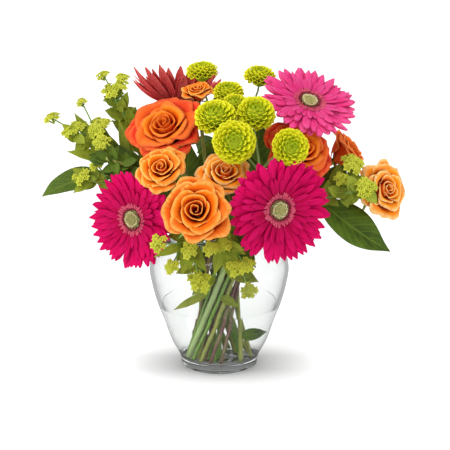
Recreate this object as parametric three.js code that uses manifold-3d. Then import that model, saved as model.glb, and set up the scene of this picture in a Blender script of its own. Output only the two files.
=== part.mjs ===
// A hand-tied bouquet of gerberas, roses, button mums and greenery in a clear glass vase.
// Millimetres, +Z up. The origin is the middle of the vase's base, and the bouquet's front faces -Y.
// The stems stand as a florist's spiral: every stem is a straight line from the vase's floor to its
// mouth, all lines lean the same way round, and each flower then bends out to its own place.

import * as THREE from 'three';
import { mergeVertices } from 'three/addons/utils/BufferGeometryUtils.js';
import Module from 'manifold-3d';

const wasm = await Module();
wasm.setup();

// ---------------------------------------------------------------- driving dimensions

const GAP = 0.3; // clearance between pieces that touch

const VASE = {
  footRadius: 38.3,
  bodyRadius: 70,
  bodyHeight: 104,
  neckRadius: 49,
  neckHeight: 132,
  lipRadius: 55,
  height: 147,
  wall: 3.5,
  floor: 9,
  floorRound: 3, // how much narrower the flat floor is than the hollow just above it
  segments: 28,
};

const POOL = {
  level: 67,
  gap: 0.4, // between the water and the glass or a stem
  leafGap: 0.6, // between the water and a leaf in it
};

const STEM_SIDES = 6;

const SPIRAL = {
  waistHeight: 70, // where the stems lie closest together
  ringStep: 6.3, // distance between the rings of stems at the waist
  twist: 0.021, // sideways run of a stem per mm of height, per mm from the middle
  exitHeight: 140, // where each stem leaves its straight line
};

const GERBERA = {
  petals: 22,
  petalRoot: 12.3,
  petalThickness: 1.6,
  notch: 0.86, // where the gap between two petal tips ends, as a share of the radius
  cupHeight: 19, // from the stem's end to the top of the disc
  petalSeat: 14, // from the stem's end to the middle of the petals' roots
  collar: 11.9,
  stem: 3,
};

const ROSE = {
  height: 1.12, // as a share of the bloom's radius
  stem: 2.6,
  sprayStem: 1.8,
  sprayRadius: 35, // a bloom up to this size has the thinner stem
};

const MUM = {
  height: 1.25, // as a share of the bloom's radius
  stem: 2.2,
  branch: 1.1,
  bend: 0.35, // how far a branch keeps its direction at each end, as a share of its length
};

const BUPLEURUM = { stem: 1.5, twig: 0.8 };

const SALAL = { stem: 1.8, twig: 1 };

const LEAF = {
  thickness: 1.2,
  steps: 5,
  fullness: 0.8, // under 1 the widest place is nearer the stem
  leastHalfWidth: 1,
  fold: 0.18, // how far an edge is lifted, as a share of the half width
};

const UMBEL_OUTLINE = [
  [0, -0.5],
  [0.6, -0.35],
  [1, 0],
  [0.65, 0.4],
  [0, 0.5],
];

// ---------------------------------------------------------------- materials

function material(color, roughness, extra = {}) {
  return new THREE.MeshStandardMaterial({ color, roughness, metalness: 0, ...extra });
}

const GLASS = material(0xeef3f2, 0.05, { transparent: true, opacity: 0.35 });
const WATER = material(0xe4efe6, 0.05, { transparent: true, opacity: 0.3 });
const PINK_PETAL = material(0xdc1470, 0.6);
const LIGHT_PINK_PETAL = material(0xe43c8c, 0.6);
const RED_PETAL = material(0xa82430, 0.6);
const GERBERA_DISC = material(0xb8a868, 0.8);
const ORANGE_ROSE = material(0xf08a28, 0.6);
const RED_ROSE = material(0xee4a1c, 0.6);
const LIME_MUM = material(0xb4cc1c, 0.7);
const STEM_GREEN = material(0x6f8f3c, 0.55);
const ROSE_STEM = material(0x6a6238, 0.6);
const LEAF_GREEN = material(0x3f6a24, 0.5);
const LIME_LEAF = material(0x9cb030, 0.6);

// ---------------------------------------------------------------- geometry helpers

const UP = new THREE.Vector3(0, 0, 1);

function vector([x, y, z]) {
  return new THREE.Vector3(x, y, z);
}

// A closed solid through loops of points that follow one another: each loop has the same number
// of points. With ring true the last loop joins the first, otherwise both ends are capped.
function skin(loops, ring = false) {
  const count = loops[0].length;
  const position = loops.flat().flatMap((p) => [p.x, p.y, p.z]);
  const index = [];
  const spans = ring ? loops.length : loops.length - 1;
  for (let i = 0; i < spans; i++) {
    const here = i * count;
    const next = ((i + 1) % loops.length) * count;
    for (let j = 0; j < count; j++) {
      const k = (j + 1) % count;
      index.push(here + j, next + j, next + k, here + j, next + k, here + k);
    }
  }
  if (!ring) {
    const last = (loops.length - 1) * count;
    for (let j = 1; j < count - 1; j++) {
      index.push(0, j, j + 1);
      index.push(last, last + j + 1, last + j);
    }
  }
  const geometry = new THREE.BufferGeometry();
  geometry.setAttribute('position', new THREE.Float32BufferAttribute(position, 3));
  geometry.setIndex(index);
  return facingOut(geometry);
}

function facingOut(geometry) {
  const { position } = geometry.attributes;
  const { index } = geometry;
  const corners = [new THREE.Vector3(), new THREE.Vector3(), new THREE.Vector3()];
  let volume = 0;
  for (let i = 0; i < index.count; i += 3) {
    corners.forEach((corner, j) => corner.fromBufferAttribute(position, index.getX(i + j)));
    volume += corners[0].dot(corners[1].clone().cross(corners[2]));
  }
  if (volume < 0) {
    index.array.reverse();
  }
  return geometry;
}

// A solid of revolution round Z through [radius, height] points that start and end on the axis.
function turned(profile, segments) {
  const points = profile.map(([radius, height]) => new THREE.Vector2(radius, height));
  const geometry = new THREE.LatheGeometry(points, segments);
  return geometry.rotateX(Math.PI / 2);
}

// A tube with flat ends along a curve.
function tube(path, radius, sides, steps) {
  const corners = [];
  for (let i = 0; i < sides; i++) {
    const angle = (2 * Math.PI * i) / sides;
    corners.push(new THREE.Vector2(radius * Math.cos(angle), radius * Math.sin(angle)));
  }
  const section = new THREE.Shape(corners);
  return new THREE.ExtrudeGeometry(section, { extrudePath: path, steps, bevelEnabled: false });
}

function solid(geometry) {
  const bare = geometry.clone();
  bare.deleteAttribute('normal');
  bare.deleteAttribute('uv');
  const merged = mergeVertices(bare, 1e-3);
  return new wasm.Manifold(
    new wasm.Mesh({
      numProp: 3,
      vertProperties: merged.attributes.position.array,
      triVerts: new Uint32Array(merged.index.array),
    }),
  );
}

function geometryOf(body) {
  const { vertProperties, triVerts } = body.getMesh();
  const geometry = new THREE.BufferGeometry();
  geometry.setAttribute('position', new THREE.BufferAttribute(vertProperties, 3));
  geometry.setIndex(new THREE.BufferAttribute(triVerts, 1));
  return geometry;
}

function joined(geometries) {
  return geometryOf(geometries.map(solid).reduce((whole, piece) => whole.add(piece)));
}

const bouquet = new THREE.Group();

function add(name, geometry, look, parent = bouquet) {
  geometry.computeVertexNormals();
  const mesh = new THREE.Mesh(geometry, look);
  mesh.name = name;
  parent.add(mesh);
  return mesh;
}

// A group whose +Z points along facing and whose origin lies that far behind the face.
function head(face, facing, depth) {
  const direction = vector(facing).normalize();
  const group = new THREE.Group();
  group.position.copy(vector(face)).addScaledVector(direction, -depth);
  group.quaternion.setFromUnitVectors(UP, direction);
  bouquet.add(group);
  return group;
}

// ---------------------------------------------------------------- vase and spiral of stems

const VASE_OUTLINE = [
  [VASE.footRadius, 0],
  [40.5, 12.5],
  [49, 29],
  [56.4, 50.5],
  [62.7, 67.6],
  [67.6, 86],
  [VASE.bodyRadius, VASE.bodyHeight],
  [65, 119],
  [VASE.neckRadius, VASE.neckHeight],
];

function vaseCurve() {
  return new THREE.SplineCurve(VASE_OUTLINE.map(([radius, z]) => new THREE.Vector2(radius, z)));
}

// The radius at a height of a chain of [radius, height] points that rises, with its slope there.
function radiusAt(chain, z) {
  const next = Math.max(chain.findIndex((point) => point[1] > z), 1);
  const [lower, upper] = [chain[next - 1], chain[next]];
  const slope = (upper[0] - lower[0]) / (upper[1] - lower[1]);
  return { radius: lower[0] + slope * (z - lower[1]), slope };
}

// The inside follows the outside at the thickness of the wall, measured square to its slope.
const OUTSIDE = vaseCurve().getPoints(200).map((point) => [point.x, point.y]);
const INSIDE = [VASE.floor + 2, 16, 30, 54, 80, 104, 120, 130].map((z) => {
  const { radius, slope } = radiusAt(OUTSIDE, z);
  return [radius - VASE.wall * Math.hypot(1, slope), z];
});

function vaseProfile() {
  const outside = vaseCurve().getPoints(11).map((point) => [point.x, point.y]);
  const lip = [
    [VASE.neckRadius + 0.4, VASE.neckHeight + 5],
    [VASE.lipRadius, VASE.height - 3],
    [VASE.lipRadius - 0.5, VASE.height],
    [VASE.lipRadius - VASE.wall + 0.5, VASE.height],
    [VASE.neckRadius + 0.4 - VASE.wall, VASE.neckHeight + 6],
  ];
  return [
    [0, 0],
    ...outside,
    ...lip,
    ...INSIDE.toReversed(),
    [INSIDE[0][0] - VASE.floorRound, VASE.floor],
    [0, VASE.floor],
  ];
}

// Where a stem of the spiral is at a height. Its ring counts outwards from the middle, and its
// bearing is its compass angle in degrees where it leaves the straight line, from +X towards +Y.
function spiralPoint({ ring, bearing }, z) {
  const rise = z - SPIRAL.waistHeight;
  const exitTurn = Math.atan(SPIRAL.twist * (SPIRAL.exitHeight - SPIRAL.waistHeight));
  const angle = THREE.MathUtils.degToRad(bearing) - exitTurn;
  const radius = ring * SPIRAL.ringStep;
  const x = radius * Math.cos(angle);
  const y = radius * Math.sin(angle);
  return new THREE.Vector3(x - SPIRAL.twist * rise * y, y + SPIRAL.twist * rise * x, z);
}

function spiralDirection(slot) {
  return spiralPoint(slot, 1).sub(spiralPoint(slot, 0)).normalize();
}

// A stem's middle line: straight through the vase in its first step, then one bend to its end.
class StemPath extends THREE.Curve {
  constructor(slot, radius, end, arriving, steps) {
    super();
    const direction = spiralDirection(slot);
    const tilt = Math.hypot(direction.x, direction.y);
    this.foot = spiralPoint(slot, VASE.floor + GAP + radius * tilt);
    this.exit = spiralPoint(slot, SPIRAL.exitHeight);
    this.straight = 1 / steps;
    this.bend = new THREE.CubicBezierCurve3(
      this.exit,
      this.exit.clone().addScaledVector(direction, slot.lift ?? 30),
      end.clone().addScaledVector(arriving, -(slot.reach ?? 30)),
      end,
    );
  }

  getPoint(t, target = new THREE.Vector3()) {
    if (t < this.straight) {
      return target.lerpVectors(this.foot, this.exit, t / this.straight);
    }
    return target.copy(this.bend.getPoint((t - this.straight) / (1 - this.straight)));
  }

  getPointAt(u, target) {
    return this.getPoint(u, target);
  }

  getTangentAt(u, target) {
    return this.getTangent(u, target);
  }
}

const submerged = []; // a sleeve round each stem, which the water leaves free

function stemPath(slot, radius, end, arriving, steps) {
  const path = new StemPath(slot, radius, end, arriving, steps);
  const below = spiralPoint(slot, 0);
  const above = spiralPoint(slot, POOL.level + VASE.floor);
  const middleLine = new THREE.LineCurve3(below, above);
  submerged.push(tube(middleLine, radius + POOL.gap, STEM_SIDES, 1));
  return path;
}

// ---------------------------------------------------------------- gerberas

// The ring of ray petals: a thin dish with a notch between each two petal tips.
function petalRing(radius, cup) {
  const loops = [];
  const samples = 2 * GERBERA.petals;
  for (let i = 0; i < samples; i++) {
    const angle = (2 * Math.PI * i) / samples;
    const tip = radius * (i % 2 === 0 ? 1 : GERBERA.notch);
    const middle = (GERBERA.petalRoot + tip) / 2;
    const outline = [
      [GERBERA.petalRoot, 0],
      [middle, 0.3],
      [tip, 1],
    ];
    const top = outline.map(([r, share]) => [r, share * cup + GERBERA.petalThickness / 2]);
    const bottom = outline.map(([r, share]) => [r, share * cup - GERBERA.petalThickness / 2]);
    const section = [...top, ...bottom.reverse()];
    loops.push(
      section.map(([r, z]) => new THREE.Vector3(r * Math.cos(angle), r * Math.sin(angle), z)),
    );
  }
  return skin(loops, true);
}

const CALYX = [
  [0, 0],
  [3.4, 0],
  [7, 2.5],
  [10.5, 8],
  [GERBERA.collar, 13],
  [10.8, 17],
  [7, 18.6],
  [0, GERBERA.cupHeight],
];

function gerbera({ name, face, facing, radius, cup, look, slot }) {
  const flower = head(face, facing, GERBERA.cupHeight);
  const petals = add(`${name}_petals`, petalRing(radius, cup), look, flower);
  petals.position.z = GERBERA.petalSeat;
  add(`${name}_disc`, turned(CALYX, 12), GERBERA_DISC, flower);
  const arriving = vector(facing).normalize();
  const end = flower.position.clone().addScaledVector(arriving, -GAP);
  const steps = 9;
  const path = stemPath(slot, GERBERA.stem, end, arriving, steps);
  add(`${name}_stem`, tube(path, GERBERA.stem, STEM_SIDES, steps), STEM_GREEN);
}

const GERBERAS = [
  {
    name: 'gerbera_left',
    face: [-84, -62, 168],
    facing: [-0.55, -0.83, 0.05],
    radius: 50,
    cup: 8,
    look: PINK_PETAL,
    slot: { ring: 3, bearing: 220 },
  },
  {
    name: 'gerbera_front',
    face: [57, -104, 188],
    facing: [0.36, -0.93, 0.02],
    radius: 53,
    cup: 8,
    look: PINK_PETAL,
    slot: { ring: 3, bearing: 300 },
  },
  {
    name: 'gerbera_right',
    face: [88, -15, 276],
    facing: [0.23, -0.51, 0.83],
    radius: 49,
    cup: 6,
    look: LIGHT_PINK_PETAL,
    slot: { ring: 2, bearing: 0 },
  },
  {
    name: 'gerbera_back',
    face: [-44, 84, 261],
    facing: [0, 0.35, 0.93],
    radius: 47,
    cup: 34,
    look: RED_PETAL,
    slot: { ring: 2, bearing: 120 },
  },
];

// ---------------------------------------------------------------- roses

const ROSE_OUTLINE = [
  [0, 0],
  [0.12, 0],
  [0.28, 0.07],
  [0.55, 0.24],
  [0.84, 0.5],
  [1, 0.76],
  [0.9, 0.88],
  [0.5, 0.97],
  [0, 1],
];

function rose({ name, face, facing, radius, look, slot }) {
  const height = radius * ROSE.height;
  const flower = head(face, facing, height);
  const profile = ROSE_OUTLINE.map(([r, z]) => [r * radius, z * height]);
  add(`${name}_bloom`, turned(profile, 14), look, flower);
  const arriving = vector(facing).normalize();
  const end = flower.position.clone().addScaledVector(arriving, -GAP);
  const thickness = radius > ROSE.sprayRadius ? ROSE.stem : ROSE.sprayStem;
  const steps = 8;
  const path = stemPath(slot, thickness, end, arriving, steps);
  add(`${name}_stem`, tube(path, thickness, STEM_SIDES, steps), ROSE_STEM);
}

const ROSES = [
  {
    name: 'rose_left',
    face: [-54, -46, 262],
    facing: [-0.25, -0.62, 0.74],
    radius: 39.5,
    look: RED_ROSE,
    slot: { ring: 2, bearing: 210 },
  },
  {
    name: 'rose_right',
    face: [81, -53, 240],
    facing: [0.35, -0.66, 0.66],
    radius: 36.5,
    look: RED_ROSE,
    slot: { ring: 2, bearing: 330 },
  },
  {
    name: 'rose_back',
    face: [138, 20, 223],
    facing: [0.8, -0.1, 0.6],
    radius: 28,
    look: RED_ROSE,
    slot: { ring: 3, bearing: 20 },
  },
  {
    name: 'spray_rose_upper',
    face: [-54, -99, 230],
    facing: [-0.2, -0.72, 0.66],
    radius: 26,
    look: ORANGE_ROSE,
    slot: { ring: 2, bearing: 240 },
  },
  {
    name: 'spray_rose_middle',
    face: [6, -89, 225],
    facing: [0.05, -0.62, 0.78],
    radius: 27,
    look: ORANGE_ROSE,
    slot: { ring: 2, bearing: 270 },
  },
  {
    name: 'spray_rose_front',
    face: [-21, -139, 199],
    facing: [-0.1, -0.89, 0.44],
    radius: 33,
    look: ORANGE_ROSE,
    slot: { ring: 3, bearing: 260 },
  },
  {
    name: 'spray_rose_top',
    face: [-22, 4, 286],
    facing: [-0.1, -0.35, 0.93],
    radius: 17,
    look: ORANGE_ROSE,
    slot: { ring: 1, bearing: 220 },
  },
  {
    name: 'spray_rose_right',
    face: [168, -28, 191],
    facing: [0.62, -0.72, 0.3],
    radius: 31,
    look: ORANGE_ROSE,
    slot: { ring: 3, bearing: 0 },
  },
];

// ---------------------------------------------------------------- button mums

const MUM_OUTLINE = [
  [0, 0],
  [0.16, 0],
  [0.5, 0.07],
  [0.9, 0.3],
  [1, 0.55],
  [0.84, 0.8],
  [0.45, 0.96],
  [0, 1],
];

function mumStem({ name, slot, fork, blooms }) {
  const forkPoint = vector(fork);
  const rising = new THREE.Vector3(fork[0] / 300, fork[1] / 300, 1).normalize();
  const steps = 6;
  const trunk = stemPath(slot, MUM.stem, forkPoint, rising, steps);
  const pieces = [tube(trunk, MUM.stem, STEM_SIDES, steps)];
  for (const bloom of blooms) {
    const height = bloom.radius * MUM.height;
    const flower = head(bloom.face, bloom.facing, height);
    const profile = MUM_OUTLINE.map(([r, z]) => [r * bloom.radius, z * height]);
    add(bloom.name, turned(profile, 12), LIME_MUM, flower);
    const arriving = vector(bloom.facing).normalize();
    const end = flower.position.clone().addScaledVector(arriving, -GAP);
    const start = forkPoint.clone().addScaledVector(rising, -MUM.stem);
    const span = start.distanceTo(end);
    const branch = new THREE.CubicBezierCurve3(
      start,
      start.clone().addScaledVector(rising, span * MUM.bend),
      end.clone().addScaledVector(arriving, -span * (bloom.reach ?? MUM.bend)),
      end,
    );
    pieces.push(tube(branch, MUM.branch, STEM_SIDES, 5));
  }
  add(name, joined(pieces), STEM_GREEN);
}

const MUM_STEMS = [
  {
    name: 'mum_stem_left',
    slot: { ring: 0, bearing: 0 },
    fork: [2, -14, 225],
    blooms: [
      { name: 'mum_1', face: [-18, 33, 303], facing: [-0.1, -0.1, 0.99], radius: 14 },
      { name: 'mum_2', face: [9, -2, 287], facing: [0, -0.3, 0.95], radius: 13.5 },
      { name: 'mum_4', face: [-3, -65, 275], facing: [0, -0.5, 0.86], radius: 18 },
      { name: 'mum_7', face: [16, -34, 279], facing: [0.05, -0.5, 0.86], radius: 11.5 },
      { name: 'mum_8', face: [41, 18, 300], facing: [0.1, -0.2, 0.98], radius: 14 },
    ],
  },
  {
    name: 'mum_stem_right',
    slot: { ring: 1, bearing: 300 },
    fork: [38, -68, 212],
    blooms: [
      { name: 'mum_3', face: [36, -58, 276], facing: [0.1, -0.6, 0.79], radius: 16.5 },
      { name: 'mum_5', face: [15, -100, 253], facing: [0.05, -0.93, 0.36], radius: 18, reach: 0.5 },
      { name: 'mum_6', face: [68, -99, 247], facing: [0.25, -0.92, 0.3], radius: 15.5, reach: 0.25 },
    ],
  },
];

// ---------------------------------------------------------------- leaves and sprays

// A blade along a curve, folded a little along its midrib. Square to its length it is a thin
// roof: left edge, midrib and right edge on top, and the same below.
function leafBlade({ from, to, bow = [0, 0, 0], width, normal, grow = 0 }) {
  const start = vector(from);
  const tip = vector(to);
  const middle = start.clone().lerp(tip, 0.5).add(vector(bow));
  const midrib = new THREE.QuadraticBezierCurve3(start, middle, tip);
  const half = LEAF.thickness / 2 + grow;
  const loops = [];
  for (let i = 0; i <= LEAF.steps; i++) {
    const s = i / LEAF.steps;
    const along = midrib.getTangent(s);
    const side = along.clone().cross(vector(normal)).normalize();
    const upward = side.clone().cross(along).normalize();
    const swell = Math.sin(Math.PI * Math.pow(s, LEAF.fullness));
    const reach = Math.max((width / 2) * swell, LEAF.leastHalfWidth) + grow;
    const middleHere = midrib.getPoint(s).addScaledVector(along, (2 * s - 1) * grow);
    const place = (across, height) =>
      middleHere.clone().addScaledVector(side, across).addScaledVector(upward, height);
    const lift = reach * LEAF.fold;
    loops.push([
      place(-reach, lift + half),
      place(0, half),
      place(reach, lift + half),
      place(reach, lift - half),
      place(0, -half),
      place(-reach, lift - half),
    ]);
  }
  return skin(loops);
}

// The flat cluster of florets that ends a twig.
function umbel(at, facing, radius) {
  const profile = UMBEL_OUTLINE.map(([r, z]) => [r * radius, z * radius]);
  const geometry = turned(profile, 7);
  const turn = new THREE.Quaternion().setFromUnitVectors(UP, vector(facing).normalize());
  geometry.applyQuaternion(turn);
  return geometry.translate(...at);
}

function twig(start, end, radius, rise) {
  const middle = start.clone().lerp(end, 0.5);
  middle.z += rise;
  const path = new THREE.QuadraticBezierCurve3(start, middle, end);
  return tube(path, radius, 5, 3);
}

// One cut stem with the twigs, leaves and floret clusters that grow on it.
function spray({ name, look, slot, size, end, arriving, twigs = [], leaves = [], umbels = [] }) {
  const steps = 6;
  const path = stemPath(slot, size.stem, vector(end), vector(arriving).normalize(), steps);
  const pieces = [tube(path, size.stem, STEM_SIDES, steps)];
  for (const { at, to, rise = 4 } of twigs) {
    pieces.push(twig(path.bend.getPoint(at), vector(to), size.twig, rise));
  }
  for (const { at, height, ...blade } of leaves) {
    const root = height ? spiralPoint(slot, height) : path.bend.getPoint(at);
    const leaf = { from: blade.from ?? root.toArray(), ...blade };
    pieces.push(leafBlade(leaf));
    if (height && height < POOL.level) {
      submerged.push(leafBlade({ ...leaf, grow: POOL.leafGap }));
    }
  }
  for (const { at, facing, radius } of umbels) {
    pieces.push(umbel(at, facing, radius));
  }
  add(name, joined(pieces), look);
}

const SPRAYS = [
  {
    name: 'bupleurum_left',
    look: LIME_LEAF,
    slot: { ring: 3, bearing: 180, lift: 45 },
    size: BUPLEURUM,
    end: [-143, -25, 245],
    arriving: [-0.8, -0.1, 0.5],
    twigs: [
      { at: 0.8, to: [-162, -15, 257] },
      { at: 0.7, to: [-134, 0, 270] },
      { at: 0.6, to: [-116, -8, 250] },
      { at: 0.55, to: [-112, -34, 236] },
      { at: 0.65, to: [-118, -20, 246] },
      { at: 0.8, to: [-138, -22, 249] },
    ],
    umbels: [
      { at: [-143, -25, 245], facing: [-0.3, -0.4, 0.8], radius: 9 },
      { at: [-162, -15, 257], facing: [-0.3, -0.3, 0.9], radius: 8 },
      { at: [-134, 0, 270], facing: [-0.2, -0.2, 0.9], radius: 6 },
      { at: [-116, -8, 250], facing: [-0.1, -0.4, 0.9], radius: 10 },
      { at: [-112, -34, 236], facing: [-0.1, -0.6, 0.7], radius: 9 },
      { at: [-118, -20, 246], facing: [-0.1, -0.6, 0.7], radius: 10 },
      { at: [-138, -22, 249], facing: [-0.2, -0.5, 0.8], radius: 8 },
    ],
    leaves: [
      { at: 0.75, to: [-140, -14, 262], width: 12, normal: [0, -0.8, 0.4] },
      { at: 0.65, to: [-146, -32, 228], width: 12, normal: [0, -0.8, 0.4] },
      { at: 0.9, to: [-152, -20, 253], width: 10, normal: [0, -0.8, 0.4] },
      { at: 0.8, to: [-125, -12, 251], width: 12, normal: [0, -0.8, 0.4] },
      { at: 0.85, to: [-139, -28, 229], width: 11, normal: [0, -0.8, 0.4] },
      { at: 0.6, to: [-107, -8, 239], width: 12, normal: [0, -0.8, 0.4] },
      { at: 0.75, to: [-131, -18, 246], width: 12, normal: [0, -0.8, 0.4] },
      { at: 0.65, to: [-118, -12, 255], width: 12, normal: [0, -0.8, 0.4] },
      { at: 0.8, to: [-137, -24, 239], width: 11, normal: [0, -0.8, 0.4] },
      { at: 0.65, to: [-125, -26, 231], width: 11, normal: [0, -0.8, 0.4] },
      { at: 0.5, to: [-98, -4, 254], width: 12, normal: [0, -0.8, 0.4] },
      { at: 0.55, to: [-93, -8, 243], width: 11, normal: [0, -0.8, 0.4] },
      { at: 0.9, to: [-148, -22, 240], width: 10, normal: [0, -0.8, 0.4] },
      { at: 0.85, to: [-129, -16, 255], width: 9, normal: [0, -0.8, 0.4] },
    ],
  },
  {
    name: 'bupleurum_top_left',
    look: LIME_LEAF,
    slot: { ring: 3, bearing: 160, lift: 50 },
    size: BUPLEURUM,
    end: [-106, 15, 280],
    arriving: [-0.3, -0.1, 1],
    twigs: [
      { at: 0.8, to: [-114, 20, 293] },
      { at: 0.8, to: [-96, 22, 291] },
      { at: 0.85, to: [-97, 12, 284] },
    ],
    umbels: [
      { at: [-106, 13, 279], facing: [-0.2, -0.5, 0.8], radius: 10 },
      { at: [-115, 20, 293], facing: [-0.3, -0.3, 0.9], radius: 7 },
      { at: [-96, 22, 291], facing: [0, -0.3, 0.9], radius: 7 },
      { at: [-97, 12, 284], facing: [0, -0.5, 0.8], radius: 8 },
    ],
    leaves: [
      { at: 0.75, to: [-112, 2, 262], width: 14, normal: [-0.2, -0.8, 0.5] },
      { at: 0.85, to: [-114, 15, 274], width: 11, normal: [0, -0.8, 0.4] },
      { at: 0.8, to: [-95, 8, 273], width: 10, normal: [0, -0.8, 0.4] },
      { at: 0.6, to: [-106, 8, 251], width: 13, normal: [0, -0.8, 0.4] },
      { at: 0.9, to: [-112, 12, 284], width: 9, normal: [0, -0.8, 0.4] },
      { at: 0.8, to: [-90, 10, 279], width: 10, normal: [0, -0.8, 0.4] },
      { at: 0.65, to: [-90, 8, 265], width: 12, normal: [0, -0.8, 0.4] },
      { at: 0.9, to: [-97, 16, 290], width: 8, normal: [0, -0.8, 0.4] },
    ],
  },
  {
    name: 'bupleurum_low_left',
    look: LIME_LEAF,
    slot: { ring: 3, bearing: 200, lift: 30 },
    size: BUPLEURUM,
    end: [-132, -40, 205],
    arriving: [-0.9, -0.1, 0.3],
    twigs: [
      { at: 0.75, to: [-118, -38, 217] },
    ],
    umbels: [
      { at: [-132, -40, 205], facing: [-0.4, -0.7, 0.5], radius: 9 },
      { at: [-118, -38, 217], facing: [-0.2, -0.7, 0.6], radius: 7 },
    ],
    leaves: [
      { at: 0.9, to: [-140, -44, 190], width: 10, normal: [-0.3, -0.8, 0.4] },
      { at: 0.85, to: [-135, -36, 192], width: 9, normal: [0, -0.8, 0.4] },
      { at: 0.9, to: [-141, -42, 214], width: 9, normal: [0, -0.8, 0.4] },
      { at: 0.8, to: [-120, -38, 211], width: 9, normal: [0, -0.8, 0.4] },
      { at: 0.95, to: [-140, -42, 200], width: 9, normal: [0, -0.8, 0.4] },
      { at: 0.9, to: [-130, -44, 193], width: 8, normal: [0, -0.8, 0.4] },
    ],
  },
  {
    name: 'bupleurum_right',
    look: LIME_LEAF,
    slot: { ring: 3, bearing: 320, lift: 30 },
    size: BUPLEURUM,
    end: [140, -50, 196],
    arriving: [0.9, -0.2, 0.3],
    twigs: [
      { at: 0.8, to: [128, -35, 217] },
      { at: 0.75, to: [116, -46, 204] },
    ],
    umbels: [
      { at: [140, -50, 196], facing: [0.3, -0.8, 0.5], radius: 11 },
      { at: [128, -37, 217], facing: [0.2, -0.7, 0.7], radius: 11 },
      { at: [116, -46, 204], facing: [0.1, -0.8, 0.5], radius: 7 },
    ],
    leaves: [
      { at: 0.8, to: [122, -36, 188], width: 14, normal: [0.1, -0.8, 0.5] },
      { height: 78, to: [20, -36, 72], width: 10, normal: [0.1, -0.8, 0.6] },
      { height: 104, to: [38, -42, 100], width: 15, normal: [0.1, -0.9, 0.4] },
      { at: 0.75, to: [116, -30, 216], width: 16, normal: [0, -0.8, 0.4] },
      { at: 0.85, to: [132, -30, 214], width: 15, normal: [0, -0.8, 0.4] },
      { at: 0.7, to: [107, -34, 202], width: 15, normal: [0, -0.8, 0.4] },
      { at: 0.85, to: [139, -40, 207], width: 12, normal: [0, -0.8, 0.4] },
      { at: 0.8, to: [121, -42, 186], width: 14, normal: [0, -0.8, 0.4] },
    ],
  },
  {
    name: 'bupleurum_front_left',
    look: LIME_LEAF,
    slot: { ring: 3, bearing: 240, lift: 22, reach: 20 },
    size: BUPLEURUM,
    end: [-30, -92, 152],
    arriving: [-0.1, -1, 0],
    twigs: [
      { at: 0.9, to: [-55, -116, 160], rise: -2 },
      { at: 0.8, to: [-44, -96, 133] },
    ],
    umbels: [
      { at: [-55, -116, 160], facing: [-0.2, -0.9, 0.4], radius: 8 },
      { at: [-44, -97, 132], facing: [-0.1, -0.9, 0.3], radius: 7 },
    ],
    leaves: [
      { at: 1, to: [-26, -102, 132], width: 11, normal: [0, -1, 0.2] },
      { at: 0.9, to: [-60, -106, 144], width: 9, normal: [-0.2, -0.9, 0.2] },
      { height: 112, to: [-42, -28, 104], width: 13, normal: [-0.3, -0.9, 0.4] },
      { at: 0.8, to: [-18, -95, 136], width: 10, normal: [0, -0.8, 0.4] },
      { at: 0.7, to: [-40, -90, 134], width: 12, normal: [0, -0.8, 0.4] },
    ],
  },
  {
    name: 'bupleurum_front_right',
    look: LIME_LEAF,
    slot: { ring: 3, bearing: 280, lift: 22, reach: 20 },
    size: BUPLEURUM,
    end: [4, -90, 152],
    arriving: [0, -1, 0],
    twigs: [
      { at: 0.9, to: [17, -90, 130] },
    ],
    umbels: [
      { at: [17, -91, 129], facing: [0.1, -0.9, 0.4], radius: 9 },
      { at: [4, -91, 151], facing: [0, -0.9, 0.4], radius: 8 },
    ],
    leaves: [
      { at: 0.95, to: [-13, -100, 146], width: 11, normal: [0, -1, 0.2] },
      { at: 0.95, to: [24, -98, 148], width: 10, normal: [0, -1, 0.2] },
      { height: 100, to: [-26, -46, 88], width: 15, normal: [-0.2, -0.9, 0.4] },
      { height: 80, to: [-44, -34, 69], width: 9, normal: [-0.2, -0.8, 0.6], bow: [0, -4, 2] },
      { at: 0.9, to: [18, -92, 135], width: 10, normal: [0, -0.8, 0.4] },
      { at: 0.8, to: [-4, -84, 120], width: 12, normal: [0, -0.8, 0.4] },
    ],
  },
  {
    name: 'dark_sprig_left',
    look: LEAF_GREEN,
    slot: { ring: 2, bearing: 180, lift: 40 },
    size: SALAL,
    end: [-108, -44, 224],
    arriving: [-0.8, -0.2, 0.3],
    leaves: [
      { at: 1, to: [-124, -46, 228], width: 8, normal: [-0.2, -0.8, 0.4] },
      { at: 0.9, to: [-102, -48, 238], width: 8, normal: [-0.2, -0.8, 0.4] },
      { at: 0.8, to: [-92, -46, 212], width: 9, normal: [-0.2, -0.8, 0.4] },
      { at: 0.95, to: [-119, -46, 232], width: 9, normal: [0, -0.8, 0.4] },
      { at: 0.85, to: [-108, -44, 238], width: 9, normal: [0, -0.8, 0.4] },
      { at: 0.7, to: [-97, -40, 229], width: 9, normal: [0, -0.8, 0.4] },
      { at: 0.9, to: [-105, -46, 210], width: 9, normal: [0, -0.8, 0.4] },
      { at: 1, to: [-120, -48, 218], width: 8, normal: [0, -0.8, 0.4] },
      { at: 0.95, to: [-122, -47, 226], width: 9, normal: [0, -0.8, 0.4] },
      { at: 0.8, to: [-104, -42, 235], width: 9, normal: [0, -0.8, 0.4] },
      { at: 0.7, to: [-88, -38, 221], width: 9, normal: [0, -0.8, 0.4] },
      { at: 0.6, to: [-86, -32, 231], width: 9, normal: [0, -0.8, 0.4] },
      { at: 0.85, to: [-113, -47, 211], width: 9, normal: [0, -0.8, 0.4] },
      { at: 0.75, to: [-91, -42, 210], width: 9, normal: [0, -0.8, 0.4] },
    ],
  },
  {
    name: 'salal_left',
    look: LEAF_GREEN,
    slot: { ring: 2, bearing: 150, lift: 35 },
    size: SALAL,
    end: [-112, -8, 200],
    arriving: [-0.9, -0.1, 0.2],
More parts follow.
